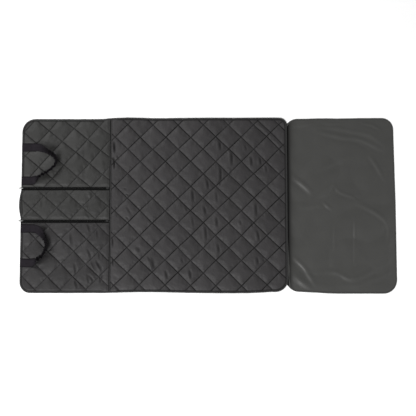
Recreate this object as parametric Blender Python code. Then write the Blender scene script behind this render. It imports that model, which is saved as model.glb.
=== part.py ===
"""Cargo liner: quilted floor panel, three quilted back-rest sections and a plain bumper flap.

The liner lies flat. The origin is the middle of the floor panel, on the plane that the liner lies on.
+X runs towards the bumper flap, +Y across the vehicle and +Z up. Lengths are in metres.
"""
import math

import bmesh
import bpy
from mathutils import Matrix, Vector

# Plan of the mat
MAT_WIDTH = 1.048
FLOOR_LENGTH = 1.064
BACK_LENGTH = 0.535
BACK_UPPER_RADIUS = 0.078
BACK_LOWER_RADIUS = 0.060
FLOOR_UPPER_RADIUS = 0.043
FLOOR_LOWER_RADIUS = 0.077
MIDDLE_BULGE = 0.012
SEAM_GAP = 0.0004

# Bumper flap
FLAP_LENGTH = 0.667
FLAP_TUCK = 0.019
FLAP_FLARE = 0.007
FLAP_DRAW_IN = 0.012
FLAP_DRAW_LENGTH = 0.290
FLAP_DRAW_RADIUS = 0.900
FLAP_START_RADIUS = 0.085
FLAP_UPPER_RADIUS = 0.068
FLAP_LOWER_RADIUS = 0.080
FLAP_THICKNESS = 0.0010

# Edge binding, one tape folded over each edge
BINDING_LEG = 0.010
TAPE_THICKNESS = 0.0005
CLEARANCE = 0.0003

# Quilted panels
FLANGE_THICKNESS = 0.0010
PUFF_HEIGHT = 0.0036
UNDER_SPARE = 0.005
UNDER_SLOPE = 0.010
QUILT_PITCH_X = 0.152
QUILT_PITCH_Y = 0.148
PUFF_SHOULDER = 0.014
PUFF_CROWN = 0.020
SHOULDER_SHARE = 0.72
PUFF_FILL = 0.85
SMALLEST_PUFF = 0.004
ARC_STEPS = 8

# One crossing of the stitch lines on each panel, and how far the pattern is turned
FLOOR_CROSSING = (-0.049, 0.408)
UPPER_CROSSING = (-0.824, 0.386)
MIDDLE_CROSSING = (-0.851, -0.019)
LOWER_CROSSING = (-0.824, -0.206)
UPPER_TURN = math.radians(4.5)
MIDDLE_TURN = math.radians(2.0)

# Zips between the back-rest sections
ZIP_Y = 0.098
ZIP_BAND = 0.024
ZIP_TAPE_EDGE = 0.016
ZIP_END_GAP = 0.010
SLIDER_LENGTH = 0.012
SLIDER_INSET = 0.0055
SLIDER_FRONT_WIDTH = 0.0100
SLIDER_REAR_WIDTH = 0.0084
SLIDER_PLATE = 0.0012
SLIDER_RIM = 0.0008
SLIDER_RIM_DROP = 0.0016
SLIDER_NECK_WIDTH = 0.0018
SLIDER_NECK_LENGTH = 0.0040
COIL_WIDTH = 0.0029
COIL_HEIGHT = 0.0020
COIL_ROUND = 0.0012
STOP_LENGTH = 0.0035
RETAINER_LENGTH = 0.0140
RETAINER_WIDTH = 0.0110
RETAINER_ROUND = 0.0018
CROWN_LENGTH = 0.0078
CROWN_BAR = 0.0012
CROWN_WINDOW = 0.0025
CROWN_THICKNESS = 0.0020
PULL_LENGTH = 0.0270
PULL_WIDTH = 0.0070
PULL_NECK_WIDTH = 0.0054
PULL_WAIST_SHARE = 0.55
PULL_TIP_SHARE = 0.90
PULL_THICKNESS = 0.0012
PULL_BAR = 0.0015
PULL_SLOT_WIDTH = 0.0028
PULL_SLOT_LENGTH = 0.0046
PULL_HOLE = 0.0036

# Tape over the fold seam
SEAM_TAPE_WIDTH = 0.012

# Headrest straps
STRAP_WIDTH = 0.050
STRAP_THICKNESS = 0.0015
PATCH_LENGTH = 0.060
PATCH_RELIEF = 0.024
PATCH_MARGIN = 0.002
TWIST_LENGTH = 0.070
STAND_ANGLE = math.radians(72.0)
STAND_HEIGHT = 0.0014
STRAP_OVERLAP_SHARES = (0.44, 0.60)
STRAP_SIDE_MARGIN = 0.176
STRAP_ZIP_MARGIN = 0.045
STRAP_STEPS = 40
SPLINE_STEPS = 12
UPPER_REACH = 0.199
LOWER_REACH = 0.147

# Each loop's plan between its patches: shares of its reach, and of the way back from its second patch
UPPER_BEND_SHARES = (
    (0.60, 0.98),
    (0.82, 0.88),
    (0.97, 0.73),
    (1.00, 0.57),
    (0.91, 0.40),
    (0.76, 0.25),
    (0.61, 0.14),
    (0.46, 0.05),
)
LOWER_BEND_SHARES = (
    (0.63, 0.97),
    (0.82, 0.83),
    (0.96, 0.65),
    (1.00, 0.49),
    (0.94, 0.30),
    (0.79, 0.12),
    (0.60, 0.03),
)

# Heights, from the ground up: flap and its binding, then the mat's binding with the panels' flange in it
FLAP_Z = TAPE_THICKNESS + CLEARANCE
FLAP_BINDING_HEIGHT = FLAP_THICKNESS + 2 * FLAP_Z
MAT_BINDING_Z = FLAP_BINDING_HEIGHT + CLEARANCE
MAT_BINDING_HEIGHT = FLANGE_THICKNESS + 2 * (TAPE_THICKNESS + CLEARANCE)
FLANGE_Z = MAT_BINDING_Z + TAPE_THICKNESS + CLEARANCE
FLANGE_TOP = FLANGE_Z + FLANGE_THICKNESS
MAT_BINDING_TOP = MAT_BINDING_Z + MAT_BINDING_HEIGHT
PUFF_TOP = FLANGE_TOP + PUFF_HEIGHT
ZIP_TAPE_Z = FLANGE_Z - CLEARANCE - TAPE_THICKNESS
COIL_Z = ZIP_TAPE_Z + TAPE_THICKNESS + CLEARANCE
COIL_TOP = COIL_Z + COIL_HEIGHT
SLIDER_TOP_Z = COIL_TOP + CLEARANCE
SLIDER_TOP = SLIDER_TOP_Z + SLIDER_PLATE
SLIDER_BOTTOM = ZIP_TAPE_Z - CLEARANCE - SLIDER_PLATE
PULL_AXIS_Z = SLIDER_TOP + CROWN_WINDOW / 2
PATCH_Z = MAT_BINDING_TOP + CLEARANCE + STRAP_THICKNESS / 2

# Places in plan
SEAM_X = -FLOOR_LENGTH / 2
FLOOR_END_X = FLOOR_LENGTH / 2
BACK_END_X = SEAM_X - BACK_LENGTH
HALF_WIDTH = MAT_WIDTH / 2
EDGE_INSET = TAPE_THICKNESS + CLEARANCE
UNDER_MARGIN = FLAP_TUCK + UNDER_SPARE
MIDDLE_HALF = ZIP_Y - ZIP_BAND / 2
FLAP_START_X = FLOOR_END_X - FLAP_TUCK
FLAP_END_X = FLAP_START_X + FLAP_LENGTH
NECK_GAP = SLIDER_NECK_WIDTH / 2 + CLEARANCE
TAPE_END_X = SEAM_X - ZIP_END_GAP
SLIDER_X = BACK_END_X + SLIDER_INSET + SLIDER_LENGTH / 2
NECK_X = SLIDER_X - SLIDER_LENGTH / 2
COIL_START_X = NECK_X + SLIDER_NECK_LENGTH + CLEARANCE
COIL_END_X = TAPE_END_X - RETAINER_LENGTH - CLEARANCE
PULL_AXIS_X = SLIDER_X
STRAP_END_X = BACK_END_X + 2 * CLEARANCE
STRAP_OUTER_Y = HALF_WIDTH - STRAP_SIDE_MARGIN
STRAP_INNER_Y = ZIP_Y + STRAP_ZIP_MARGIN

COLLECTION = "cargo_liner"
CUTTERS = "cutters"


def clear_scene():
    """Remove the objects that the scene starts with."""
    for item in list(bpy.data.objects):
        bpy.data.objects.remove(item, do_unlink=True)


def collection(name):
    """Return the named collection, made and linked to the scene when it is new."""
    if name not in bpy.data.collections:
        bpy.context.scene.collection.children.link(bpy.data.collections.new(name))
    return bpy.data.collections[name]


def material(name, colour, roughness, metallic=0.0):
    """Return a Principled material with one colour."""
    made = bpy.data.materials.new(name)
    made.use_nodes = True
    shader = made.node_tree.nodes["Principled BSDF"]
    shader.inputs["Base Color"].default_value = (*colour, 1.0)
    shader.inputs["Roughness"].default_value = roughness
    shader.inputs["Metallic"].default_value = metallic
    return made


def mesh_object(name, bm, finish, group=COLLECTION):
    """Turn a bmesh into an object with its faces pointing out."""
    bmesh.ops.recalc_face_normals(bm, faces=bm.faces)
    mesh = bpy.data.meshes.new(name)
    bm.to_mesh(mesh)
    bm.free()
    made = bpy.data.objects.new(name, mesh)
    if finish:
        mesh.materials.append(finish)
    collection(group).objects.link(made)
    return made


def cutter(name, bm):
    """Make a helper object that Boolean modifiers read."""
    made = mesh_object(name, bm, None, CUTTERS)
    made.hide_render = True
    made.display_type = "WIRE"
    return made


def add_boolean(target, tool, operation, solver="EXACT"):
    """Join a helper to the target, or cut it away."""
    modifier = target.modifiers.new(tool.name, "BOOLEAN")
    modifier.object = tool
    modifier.operation = operation
    modifier.solver = solver


def box_mesh(low, high):
    """Return a bmesh box between two corners."""
    bm = bmesh.new()
    low, high = Vector(low), Vector(high)
    bmesh.ops.create_cube(bm, size=1.0)
    bmesh.ops.scale(bm, vec=high - low, verts=bm.verts)
    bmesh.ops.translate(bm, vec=(low + high) / 2, verts=bm.verts)
    return bm


def rounded(corners):
    """Return the points of an outline whose corners are (x, y) or (x, y, radius)."""
    points = []
    for i, corner in enumerate(corners):
        here = Vector(corner[:2])
        radius = corner[2] if len(corner) > 2 else 0.0
        if not radius:
            points.append(here)
            continue
        back = (Vector(corners[i - 1][:2]) - here).normalized()
        ahead = (Vector(corners[(i + 1) % len(corners)][:2]) - here).normalized()
        half = back.angle(ahead) / 2
        centre = here + (back + ahead).normalized() * radius / math.sin(half)
        start = here + back * radius / math.tan(half) - centre
        turn = start.angle_signed(here + ahead * radius / math.tan(half) - centre)
        for step in range(ARC_STEPS + 1):
            angle = -turn * step / ARC_STEPS
            cosine, sine = math.cos(angle), math.sin(angle)
            spoke = Vector((start.x * cosine - start.y * sine, start.x * sine + start.y * cosine))
            points.append(centre + spoke)
    return points


def middle_edge(half, inset):
    """Return the middle section's bowed free edge from y = half to y = -half, moved in by inset."""
    points = []
    for step in range(ARC_STEPS + 1):
        y = half * (1 - 2 * step / ARC_STEPS)
        bow = MIDDLE_BULGE * math.cos(math.pi * y / (2 * MIDDLE_HALF))
        points.append(Vector((BACK_END_X + inset - bow, y)))
    return points


def face_from(bm, points, z):
    """Add one flat face through plan points at height z."""
    return bm.faces.new([bm.verts.new((point[0], point[1], z)) for point in points])


def prism_mesh(points, low, high):
    """Return a bmesh plate with a plan outline between two heights."""
    bm = bmesh.new()
    face = face_from(bm, points, low)
    grown = bmesh.ops.extrude_face_region(bm, geom=[face])["geom"]
    top = [item for item in grown if isinstance(item, bmesh.types.BMVert)]
    bmesh.ops.translate(bm, vec=(0.0, 0.0, high - low), verts=top)
    return bm


def inradius(face):
    """Return the radius of a circle that fits in a face, from its area and perimeter."""
    return 2 * face.calc_area() / face.calc_perimeter()


def shrink_and_lift(bm, face, share, rise):
    """Inset a face by scaling its rim towards its centre, and lift it."""
    bmesh.ops.inset_individual(bm, faces=[face], thickness=0.0)
    centre = face.calc_center_median()
    bmesh.ops.scale(bm, vec=(share, share, 1.0), space=Matrix.Translation(-centre), verts=face.verts)
    bmesh.ops.translate(bm, vec=(0.0, 0.0, rise), verts=face.verts)


def raise_puffs(bm, faces):
    """Raise each quilted cell in two steps: a steep shoulder along the stitching, then a low crown."""
    for face in faces:
        room = inradius(face)
        if room < SMALLEST_PUFF:
            continue
        size = min(1.0, room / (PUFF_SHOULDER + PUFF_CROWN) * PUFF_FILL)
        shoulder = PUFF_SHOULDER * size / room
        crown = PUFF_CROWN * size / room
        shrink_and_lift(bm, face, 1 - shoulder, PUFF_HEIGHT * size * SHOULDER_SHARE)
        shrink_and_lift(bm, face, 1 - crown / (1 - shoulder), PUFF_HEIGHT * size * (1 - SHOULDER_SHARE))


def quilted_panel(name, outline, origin, turn, finish):
    """Make a quilted panel: a thin flange round diamond puffs, and a flat underside on the ground.

    origin is one crossing of the stitch lines, and turn is the angle of the whole stitch pattern.
    """
    bm = bmesh.new()
    top = face_from(bm, outline, FLANGE_TOP)
    if top.normal.z < 0:
        top.normal_flip()
    grown = bmesh.ops.extrude_face_region(bm, geom=[top])["geom"]
    lid = next(item for item in grown if isinstance(item, bmesh.types.BMFace))
    bottom_verts = [vert for vert in bm.verts if vert not in set(lid.verts)]
    bmesh.ops.translate(bm, vec=(0.0, 0.0, -FLANGE_THICKNESS), verts=bottom_verts)
    bmesh.ops.recalc_face_normals(bm, faces=bm.faces)
    bottom = min(bm.faces, key=lambda face: face.calc_center_median().z)
    bmesh.ops.inset_region(bm, faces=[bottom], thickness=UNDER_MARGIN, use_even_offset=True)
    bmesh.ops.inset_region(bm, faces=[bottom], thickness=UNDER_SLOPE, use_even_offset=True)
    bmesh.ops.translate(bm, vec=(0.0, 0.0, -FLANGE_Z), verts=bottom.verts)
    top = max(bm.faces, key=lambda face: face.calc_center_median().z)
    bmesh.ops.inset_region(bm, faces=[top], thickness=BINDING_LEG, use_even_offset=True)
    quilt = [top]
    reach = FLOOR_LENGTH + BACK_LENGTH
    for slope in (1, -1):
        along = Vector((QUILT_PITCH_X, slope * QUILT_PITCH_Y)).normalized()
        along.rotate(Matrix.Rotation(turn, 2))
        across = Vector((-along.y, along.x))
        spacing = QUILT_PITCH_X * QUILT_PITCH_Y / math.hypot(QUILT_PITCH_X, QUILT_PITCH_Y)
        lines = math.ceil(reach / spacing)
        for step in range(-lines, lines + 1):
            through = Vector(origin) + across * spacing * step
            edges = {edge for face in quilt for edge in face.edges}
            verts = {vert for face in quilt for vert in face.verts}
            cut = bmesh.ops.bisect_plane(
                bm,
                geom=[*quilt, *edges, *verts],
                dist=CLEARANCE,
                plane_co=(through.x, through.y, FLANGE_TOP),
                plane_no=(across.x, across.y, 0.0),
            )
            quilt = [item for item in cut["geom"] if isinstance(item, bmesh.types.BMFace)]
    raise_puffs(bm, quilt)
    mesh_object(name, bm, finish)


def sweep(bm, profile, stations):
    """Extrude a closed profile through stations, each an origin and the profile's two axes."""

    def placed(station):
        origin, across, up = station
        return [origin + across * u + up * v for u, v in profile]

    first = cap = bm.faces.new([bm.verts.new(point) for point in placed(stations[0])])
    for station in stations[1:]:
        order = list(cap.verts)
        grown = bmesh.ops.extrude_face_region(bm, geom=[cap])["geom"]
        new_cap = next(item for item in grown if isinstance(item, bmesh.types.BMFace))
        start = [vert.co.copy() for vert in order]
        targets = placed(station)
        for vert in new_cap.verts:
            nearest = min(range(len(start)), key=lambda k: (start[k] - vert.co).length)
            vert.co = targets[nearest]
        if cap is not first:
            bmesh.ops.delete(bm, geom=[cap], context="FACES_ONLY")
        cap = new_cap


def folded_tape(name, path, z, height, finish):
    """Make a binding: a tape folded round the edge of a panel, which lies to the left of the path."""
    wall, leg = TAPE_THICKNESS, BINDING_LEG
    profile = (
        (0.0, 0.0),
        (leg, 0.0),
        (leg, wall),
        (wall, wall),
        (wall, height - wall),
        (leg, height - wall),
        (leg, height),
        (0.0, height),
    )
    stations = []
    for i, point in enumerate(path):
        before = (point - path[i - 1]).normalized() if i else (path[1] - point).normalized()
        after = (path[i + 1] - point).normalized() if i + 1 < len(path) else before
        left = (Vector((-before.y, before.x)) + Vector((-after.y, after.x))).normalized()
        left /= left.dot(Vector((-before.y, before.x)))
        stations.append((Vector((*point, z)), Vector((*left, 0.0)), Vector((0.0, 0.0, 1.0))))
    bm = bmesh.new()
    sweep(bm, profile, stations)
    mesh_object(name, bm, finish)


def floor_panel(finish):
    """Make the quilted floor panel."""
    left, right = SEAM_X + SEAM_GAP / 2, FLOOR_END_X - EDGE_INSET
    side = HALF_WIDTH - EDGE_INSET
    lower, upper = FLOOR_LOWER_RADIUS - EDGE_INSET, FLOOR_UPPER_RADIUS - EDGE_INSET
    outline = rounded([(left, -side), (right, -side, lower), (right, side, upper), (left, side)])
    quilted_panel("floor_panel", outline, FLOOR_CROSSING, 0.0, finish)


def back_panels(finish):
    """Make the three quilted back-rest sections, with a band left free for each zip."""
    left, right = BACK_END_X + EDGE_INSET, SEAM_X - SEAM_GAP / 2
    side, outer = HALF_WIDTH - EDGE_INSET, ZIP_Y + ZIP_BAND / 2
    upper_radius, lower_radius = BACK_UPPER_RADIUS - EDGE_INSET, BACK_LOWER_RADIUS - EDGE_INSET
    upper = rounded([(left, outer), (right, outer), (right, side), (left, side, upper_radius)])
    lower = rounded([(left, -outer), (left, -side, lower_radius), (right, -side), (right, -outer)])
    middle = [Vector((right, -MIDDLE_HALF)), Vector((right, MIDDLE_HALF))]
    middle += middle_edge(MIDDLE_HALF, EDGE_INSET)
    quilted_panel("back_panel_upper", upper, UPPER_CROSSING, UPPER_TURN, finish)
    quilted_panel("back_panel_middle", middle, MIDDLE_CROSSING, MIDDLE_TURN, finish)
    quilted_panel("back_panel_lower", lower, LOWER_CROSSING, 0.0, finish)


def flap_corners(inset):
    """Return the flap's plan corners, each side moved in by inset."""
    left, right = FLAP_START_X + inset, FLAP_END_X - inset
    top, low = HALF_WIDTH - inset, -HALF_WIDTH - FLAP_FLARE + inset
    return [
        (left, low + FLAP_DRAW_IN, FLAP_START_RADIUS - inset),
        (left + FLAP_DRAW_LENGTH, low, FLAP_DRAW_RADIUS),
        (right, low, FLAP_LOWER_RADIUS - inset),
        (right, top, FLAP_UPPER_RADIUS - inset),
        (left, top, FLAP_START_RADIUS - inset),
    ]


def bumper_flap(cloth, tape):
    """Make the plain flap and the binding all round it, whose ends meet under the floor panel."""
    outline = rounded(flap_corners(EDGE_INSET))
    mesh_object("bumper_flap", prism_mesh(outline, FLAP_Z, FLAP_Z + FLAP_THICKNESS), cloth)
    edge = rounded(flap_corners(0.0))
    ends = [Vector((FLAP_START_X, side * CLEARANCE)) for side in (-1, 1)]
    folded_tape("flap_binding", [ends[0], *edge, ends[1]], 0.0, FLAP_BINDING_HEIGHT, tape)


def mat_bindings(tape):
    """Make the binding round the floor and outer back-rest sections, and the middle section's own."""
    outer, inner = ZIP_Y + ZIP_TAPE_EDGE + CLEARANCE, ZIP_Y - ZIP_TAPE_EDGE - CLEARANCE
    corners = [
        (BACK_END_X, -outer),
        (BACK_END_X, -HALF_WIDTH, BACK_LOWER_RADIUS),
        (FLOOR_END_X, -HALF_WIDTH, FLOOR_LOWER_RADIUS),
        (FLOOR_END_X, HALF_WIDTH, FLOOR_UPPER_RADIUS),
        (BACK_END_X, HALF_WIDTH, BACK_UPPER_RADIUS),
        (BACK_END_X, outer),
    ]
    folded_tape("body_binding", rounded(corners), MAT_BINDING_Z, MAT_BINDING_HEIGHT, tape)
    bowed = middle_edge(inner, 0.0)
    folded_tape("middle_binding", bowed, MAT_BINDING_Z, MAT_BINDING_HEIGHT, tape)


def seam_tape(tape):
    """Make the tape that covers the fold seam between the floor and the back-rest sections."""
    half, side = SEAM_TAPE_WIDTH / 2, HALF_WIDTH - BINDING_LEG - CLEARANCE
    low = (SEAM_X - half, -side, MAT_BINDING_TOP - TAPE_THICKNESS)
    high = (SEAM_X + half, side, MAT_BINDING_TOP)
    mesh_object("fold_seam_tape", box_mesh(low, high), tape)


def zip_tape_half(name, centre_y, side, finish):
    """Make the woven tape on one side of a zip."""
    near, far = sorted((centre_y + side * NECK_GAP, centre_y + side * ZIP_TAPE_EDGE))
    low = (BACK_END_X, near, ZIP_TAPE_Z)
    high = (TAPE_END_X, far, ZIP_TAPE_Z + TAPE_THICKNESS)
    mesh_object(name, box_mesh(low, high), finish)


def zip_coil_half(name, centre_y, side, finish):
    """Make one row of the coil, with its upper outer edge rounded off."""
    near = centre_y + side * CLEARANCE / 2
    far = near + side * COIL_WIDTH
    bm = box_mesh(
        (COIL_START_X, min(near, far), COIL_Z), (COIL_END_X, max(near, far), COIL_Z + COIL_HEIGHT)
    )
    outer = [
        edge
        for edge in bm.edges
        if all(abs(vert.co.y - far) < CLEARANCE / 2 and vert.co.z > COIL_Z for vert in edge.verts)
        and abs(edge.verts[0].co.x - edge.verts[1].co.x) > CLEARANCE
    ]
    bmesh.ops.bevel(
        bm, geom=outer, offset=COIL_ROUND, segments=3, profile=0.5, affect="EDGES", material=-1
    )
    mesh_object(name, bm, finish)


def zip_stop(name, centre_y, side, finish):
    """Make a top stop, the little clamp at the end of one coil row."""
    near, far = sorted((centre_y + side * NECK_GAP, centre_y + side * (NECK_GAP + COIL_WIDTH)))
    low = (NECK_X - CLEARANCE - STOP_LENGTH, near, COIL_Z)
    high = (NECK_X - CLEARANCE, far, COIL_TOP)
    mesh_object(name, box_mesh(low, high), finish)


def zip_retainer(name, centre_y, finish):
    """Make the retainer box that holds both tapes' lower ends."""
    half = RETAINER_WIDTH / 2
    low = (TAPE_END_X - RETAINER_LENGTH, centre_y - half, COIL_Z)
    high = (TAPE_END_X, centre_y + half, COIL_TOP)
    bm = box_mesh(low, high)
    upright = [edge for edge in bm.edges if abs(edge.verts[0].co.z - edge.verts[1].co.z) > CLEARANCE]
    bmesh.ops.bevel(
        bm, geom=upright, offset=RETAINER_ROUND, segments=3, profile=0.5, affect="EDGES", material=-1
    )
    mesh_object(name, bm, finish)


def slider_plan():
    """Return the slider plate's outline about the slider's middle, wide at the front."""
    half, front, rear = SLIDER_LENGTH / 2, SLIDER_FRONT_WIDTH / 2, SLIDER_REAR_WIDTH / 2
    radius = SLIDER_RIM * 2
    return rounded(
        [(-half, -front, radius), (half, -rear, radius), (half, rear, radius), (-half, front, radius)]
    )


def zip_slider(name, centre_y, finish):
    """Make a slider: two plates, the neck that joins them, side rims, and a crown for the pull."""
    place = Vector((SLIDER_X, centre_y, 0.0))
    body = mesh_object(name, prism_mesh(slider_plan(), SLIDER_TOP_Z, SLIDER_TOP), finish)
    half, neck = SLIDER_LENGTH / 2, SLIDER_NECK_WIDTH / 2
    overlap = SLIDER_PLATE / 2
    lower = cutter(
        name + "_lower", prism_mesh(slider_plan(), SLIDER_BOTTOM, SLIDER_BOTTOM + SLIDER_PLATE)
    )
    joint = cutter(
        name + "_neck",
        box_mesh(
            (-half, -neck, SLIDER_BOTTOM + overlap),
            (-half + SLIDER_NECK_LENGTH, neck, SLIDER_TOP_Z + overlap),
        ),
    )
    helpers = [lower, joint]
    for side in (-1, 1):
        outer = side * SLIDER_REAR_WIDTH / 2
        near, far = sorted((outer - side * SLIDER_RIM, outer))
        rim = box_mesh(
            (-half + SLIDER_RIM * 2, near, SLIDER_TOP_Z - SLIDER_RIM_DROP),
            (half - SLIDER_RIM * 2, far, SLIDER_TOP_Z + overlap),
        )
        helpers.append(cutter(f"{name}_rim_{'upper' if side > 0 else 'lower'}", rim))
    crown = crown_mesh(overlap)
    helpers.append(cutter(name + "_crown", crown))
    for helper in helpers:
        helper.location = place
        add_boolean(body, helper, "UNION")
    body.location = place


def crown_mesh(overlap):
    """Return the slider's crown, a bridge along X that the pull's eye hangs on."""
    half, height = CROWN_LENGTH / 2, CROWN_WINDOW + CROWN_BAR
    outer = [(-half, -overlap), (-half, height, CROWN_BAR), (half, height, CROWN_BAR), (half, -overlap)]
    inner_half = half - CROWN_BAR
    inner = [
        (inner_half, -overlap),
        (inner_half, CROWN_WINDOW, CROWN_BAR / 2),
        (-inner_half, CROWN_WINDOW, CROWN_BAR / 2),
        (-inner_half, -overlap),
    ]
    points = rounded(outer) + rounded(inner)
    bm = bmesh.new()
    face = bm.faces.new(
        [bm.verts.new((x, -CROWN_THICKNESS / 2, SLIDER_TOP + z)) for x, z in points]
    )
    grown = bmesh.ops.extrude_face_region(bm, geom=[face])["geom"]
    moved = [item for item in grown if isinstance(item, bmesh.types.BMVert)]
    bmesh.ops.translate(bm, vec=(0.0, CROWN_THICKNESS, 0.0), verts=moved)
    return bm


def pull_tab(name, centre_y, finish):
    """Make the pull tab, a flat 2D curve with a slot for the crown; its origin is on its hinge axis."""
    half, neck, bar = PULL_WIDTH / 2, PULL_NECK_WIDTH / 2, PULL_BAR / 2
    slot, shoulder = PULL_SLOT_WIDTH / 2, bar + PULL_SLOT_LENGTH
    waist, tip = PULL_LENGTH * PULL_WAIST_SHARE, half * PULL_TIP_SHARE
    outline = rounded(
        [
            (bar, -neck),
            (bar, neck),
            (-shoulder - bar, neck, neck / 2),
            (-waist, half, half),
            (-PULL_LENGTH, half, tip),
            (-PULL_LENGTH, -half, tip),
            (-waist, -half, half),
            (-shoulder - bar, -neck, neck / 2),
        ]
    )
    window = rounded([(-bar, -slot), (-bar, slot), (-shoulder, slot), (-shoulder, -slot)])
    centre = -PULL_LENGTH + half
    radius = PULL_HOLE / 2
    turns = 3 * ARC_STEPS
    hole = [
        Vector((centre + radius * math.cos(a), radius * math.sin(a)))
        for a in (2 * math.pi * k / turns for k in range(turns))
    ]
    curve = bpy.data.curves.new(name, "CURVE")
    curve.dimensions = "2D"
    curve.fill_mode = "BOTH"
    curve.extrude = PULL_THICKNESS / 2
    for points in (outline, window, hole):
        spline = curve.splines.new("POLY")
        spline.points.add(len(points) - 1)
        for spot, point in zip(spline.points, points):
            spot.co = (point.x, point.y, 0.0, 1.0)
        spline.use_cyclic_u = True
    curve.materials.append(finish)
    tab = bpy.data.objects.new(name, curve)
    collection(COLLECTION).objects.link(tab)
    tab.location = (PULL_AXIS_X, centre_y, PULL_AXIS_Z)


def zips(finishes):
    """Make both zips, each with its tapes, coils, stops, retainer, slider and pull."""
    for row, centre_y in (("upper", ZIP_Y), ("lower", -ZIP_Y)):
        for label, side in (("outer", math.copysign(1, centre_y)), ("inner", -math.copysign(1, centre_y))):
            zip_tape_half(f"zip_{row}_tape_{label}", centre_y, side, finishes["tape"])
            zip_coil_half(f"zip_{row}_coil_{label}", centre_y, side, finishes["coil"])
            zip_stop(f"zip_{row}_stop_{label}", centre_y, side, finishes["slider"])
        zip_retainer(f"zip_{row}_retainer", centre_y, finishes["slider"])
        zip_slider(f"zip_{row}_slider", centre_y, finishes["slider"])
        pull_tab(f"zip_{row}_pull", centre_y, finishes["pull"])


def smooth_path(points, steps):
    """Return points evenly spaced along a smooth curve through the given ones, and its length."""
    ends = [points[0] * 2 - points[1], *points, points[-1] * 2 - points[-2]]
    fine = []
    for a, b, c, d in zip(ends, ends[1:], ends[2:], ends[3:]):
        for k in range(SPLINE_STEPS):
            t = k / SPLINE_STEPS
            fine.append(
                0.5 * (2 * b + (c - a) * t + (2 * a - 5 * b + 4 * c - d) * t**2
                       + (3 * b - a - 3 * c + d) * t**3)
            )
    fine.append(points[-1])
    lengths = [0.0]
    for here, there in zip(fine, fine[1:]):
        lengths.append(lengths[-1] + (there - here).length)
    out, k = [], 0
    for step in range(steps + 1):
        want = lengths[-1] * step / steps
        while k < len(fine) - 2 and lengths[k + 1] < want:
            k += 1
        share = (want - lengths[k]) / max(lengths[k + 1] - lengths[k], 1e-9)
        out.append(fine[k].lerp(fine[k + 1], min(1.0, share)))
    return out, lengths[-1]


def ease(share):
    """Return a smooth step from 0 to 1."""
    share = min(1.0, max(0.0, share))
    return share * share * (3 - 2 * share)


def loop_stations(first_y, second_y, reach, bend):
    """Return each station of a strap loop: place of the lower edge, tangent, stand angle, run so far."""
    low_first, low_second = first_y - STRAP_WIDTH / 2, second_y + STRAP_WIDTH / 2
    patch = [STRAP_END_X + PATCH_LENGTH * share for share in (0.0, 0.5, 1.0)]
    plan = [Vector((x, low_first)) for x in patch]
    across = low_first - low_second
    plan += [Vector((STRAP_END_X + x * reach, low_second + y * across)) for x, y in bend]
    plan += [Vector((x, low_second)) for x in reversed(patch)]
    points, length = smooth_path(plan, STRAP_STEPS)
    stations = []
    for i, point in enumerate(points):
        tangent = (points[min(i + 1, STRAP_STEPS)] - points[max(i - 1, 0)]).normalized()
        run = length * i / STRAP_STEPS
        stand = ease((min(run, length - run) - PATCH_LENGTH) / TWIST_LENGTH)
        lift = ease((min(run, length - run) - PATCH_LENGTH) / PATCH_RELIEF)
        stations.append((point, tangent, stand, lift, run / length))
    return stations


def strap(name, stations, span, offset, finish):
    """Make one band of a loop over a span of it, set off outwards from the loop's own surface."""
    profile = [
        (u * STRAP_WIDTH / 2, v * STRAP_THICKNESS / 2) for u, v in ((-1, -1), (1, -1), (1, 1), (-1, 1))
    ]
    placed = []
    for point, tangent, stand, lift, share in stations:
        if not span[0] <= share <= span[1]:
            continue
        angle = STAND_ANGLE * stand
        outward = Vector((-tangent.y, tangent.x, 0.0))
        width = outward * math.cos(angle) + Vector((0.0, 0.0, math.sin(angle)))
        normal = Vector((*tangent, 0.0)).cross(width)
        height = PATCH_Z + (PUFF_TOP + STAND_HEIGHT - PATCH_Z) * lift
        origin = Vector((*point, height)) + width * STRAP_WIDTH / 2 - normal * offset * stand
        placed.append((origin, width, normal))
    bm = bmesh.new()
    sweep(bm, profile, placed)
    mesh_object(name, bm, finish)


def headrest_straps(finish):
    """Make both loops, each of two bands that overlap at the far bend, and seat their patches."""
    loops = (
        ("upper", STRAP_OUTER_Y, STRAP_INNER_Y, UPPER_REACH, UPPER_BEND_SHARES),
        ("lower", -STRAP_INNER_Y, -STRAP_OUTER_Y, LOWER_REACH, LOWER_BEND_SHARES),
    )
    for row, first_y, second_y, reach, bend in loops:
        stations = loop_stations(first_y, second_y, reach, bend)
        shift = STRAP_THICKNESS + CLEARANCE
        strap(f"headrest_strap_{row}_loop", stations, (0.0, STRAP_OVERLAP_SHARES[1]), 0.0, finish)
        strap(f"headrest_strap_{row}_hook", stations, (STRAP_OVERLAP_SHARES[0], 1.0), shift, finish)
        panel = bpy.data.objects[f"back_panel_{row}"]
        for label, y in (("first", first_y), ("second", second_y)):
            half = STRAP_WIDTH / 2 + PATCH_MARGIN
            seat = box_mesh(
                (BACK_END_X - CLEARANCE, y - half, MAT_BINDING_TOP),
                (STRAP_END_X + PATCH_LENGTH + PATCH_RELIEF, y + half, PUFF_TOP + CLEARANCE),
            )
            seat_cutter = cutter(f"strap_seat_{row}_{label}", seat)
            add_boolean(panel, seat_cutter, "DIFFERENCE", solver="MANIFOLD")


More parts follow.
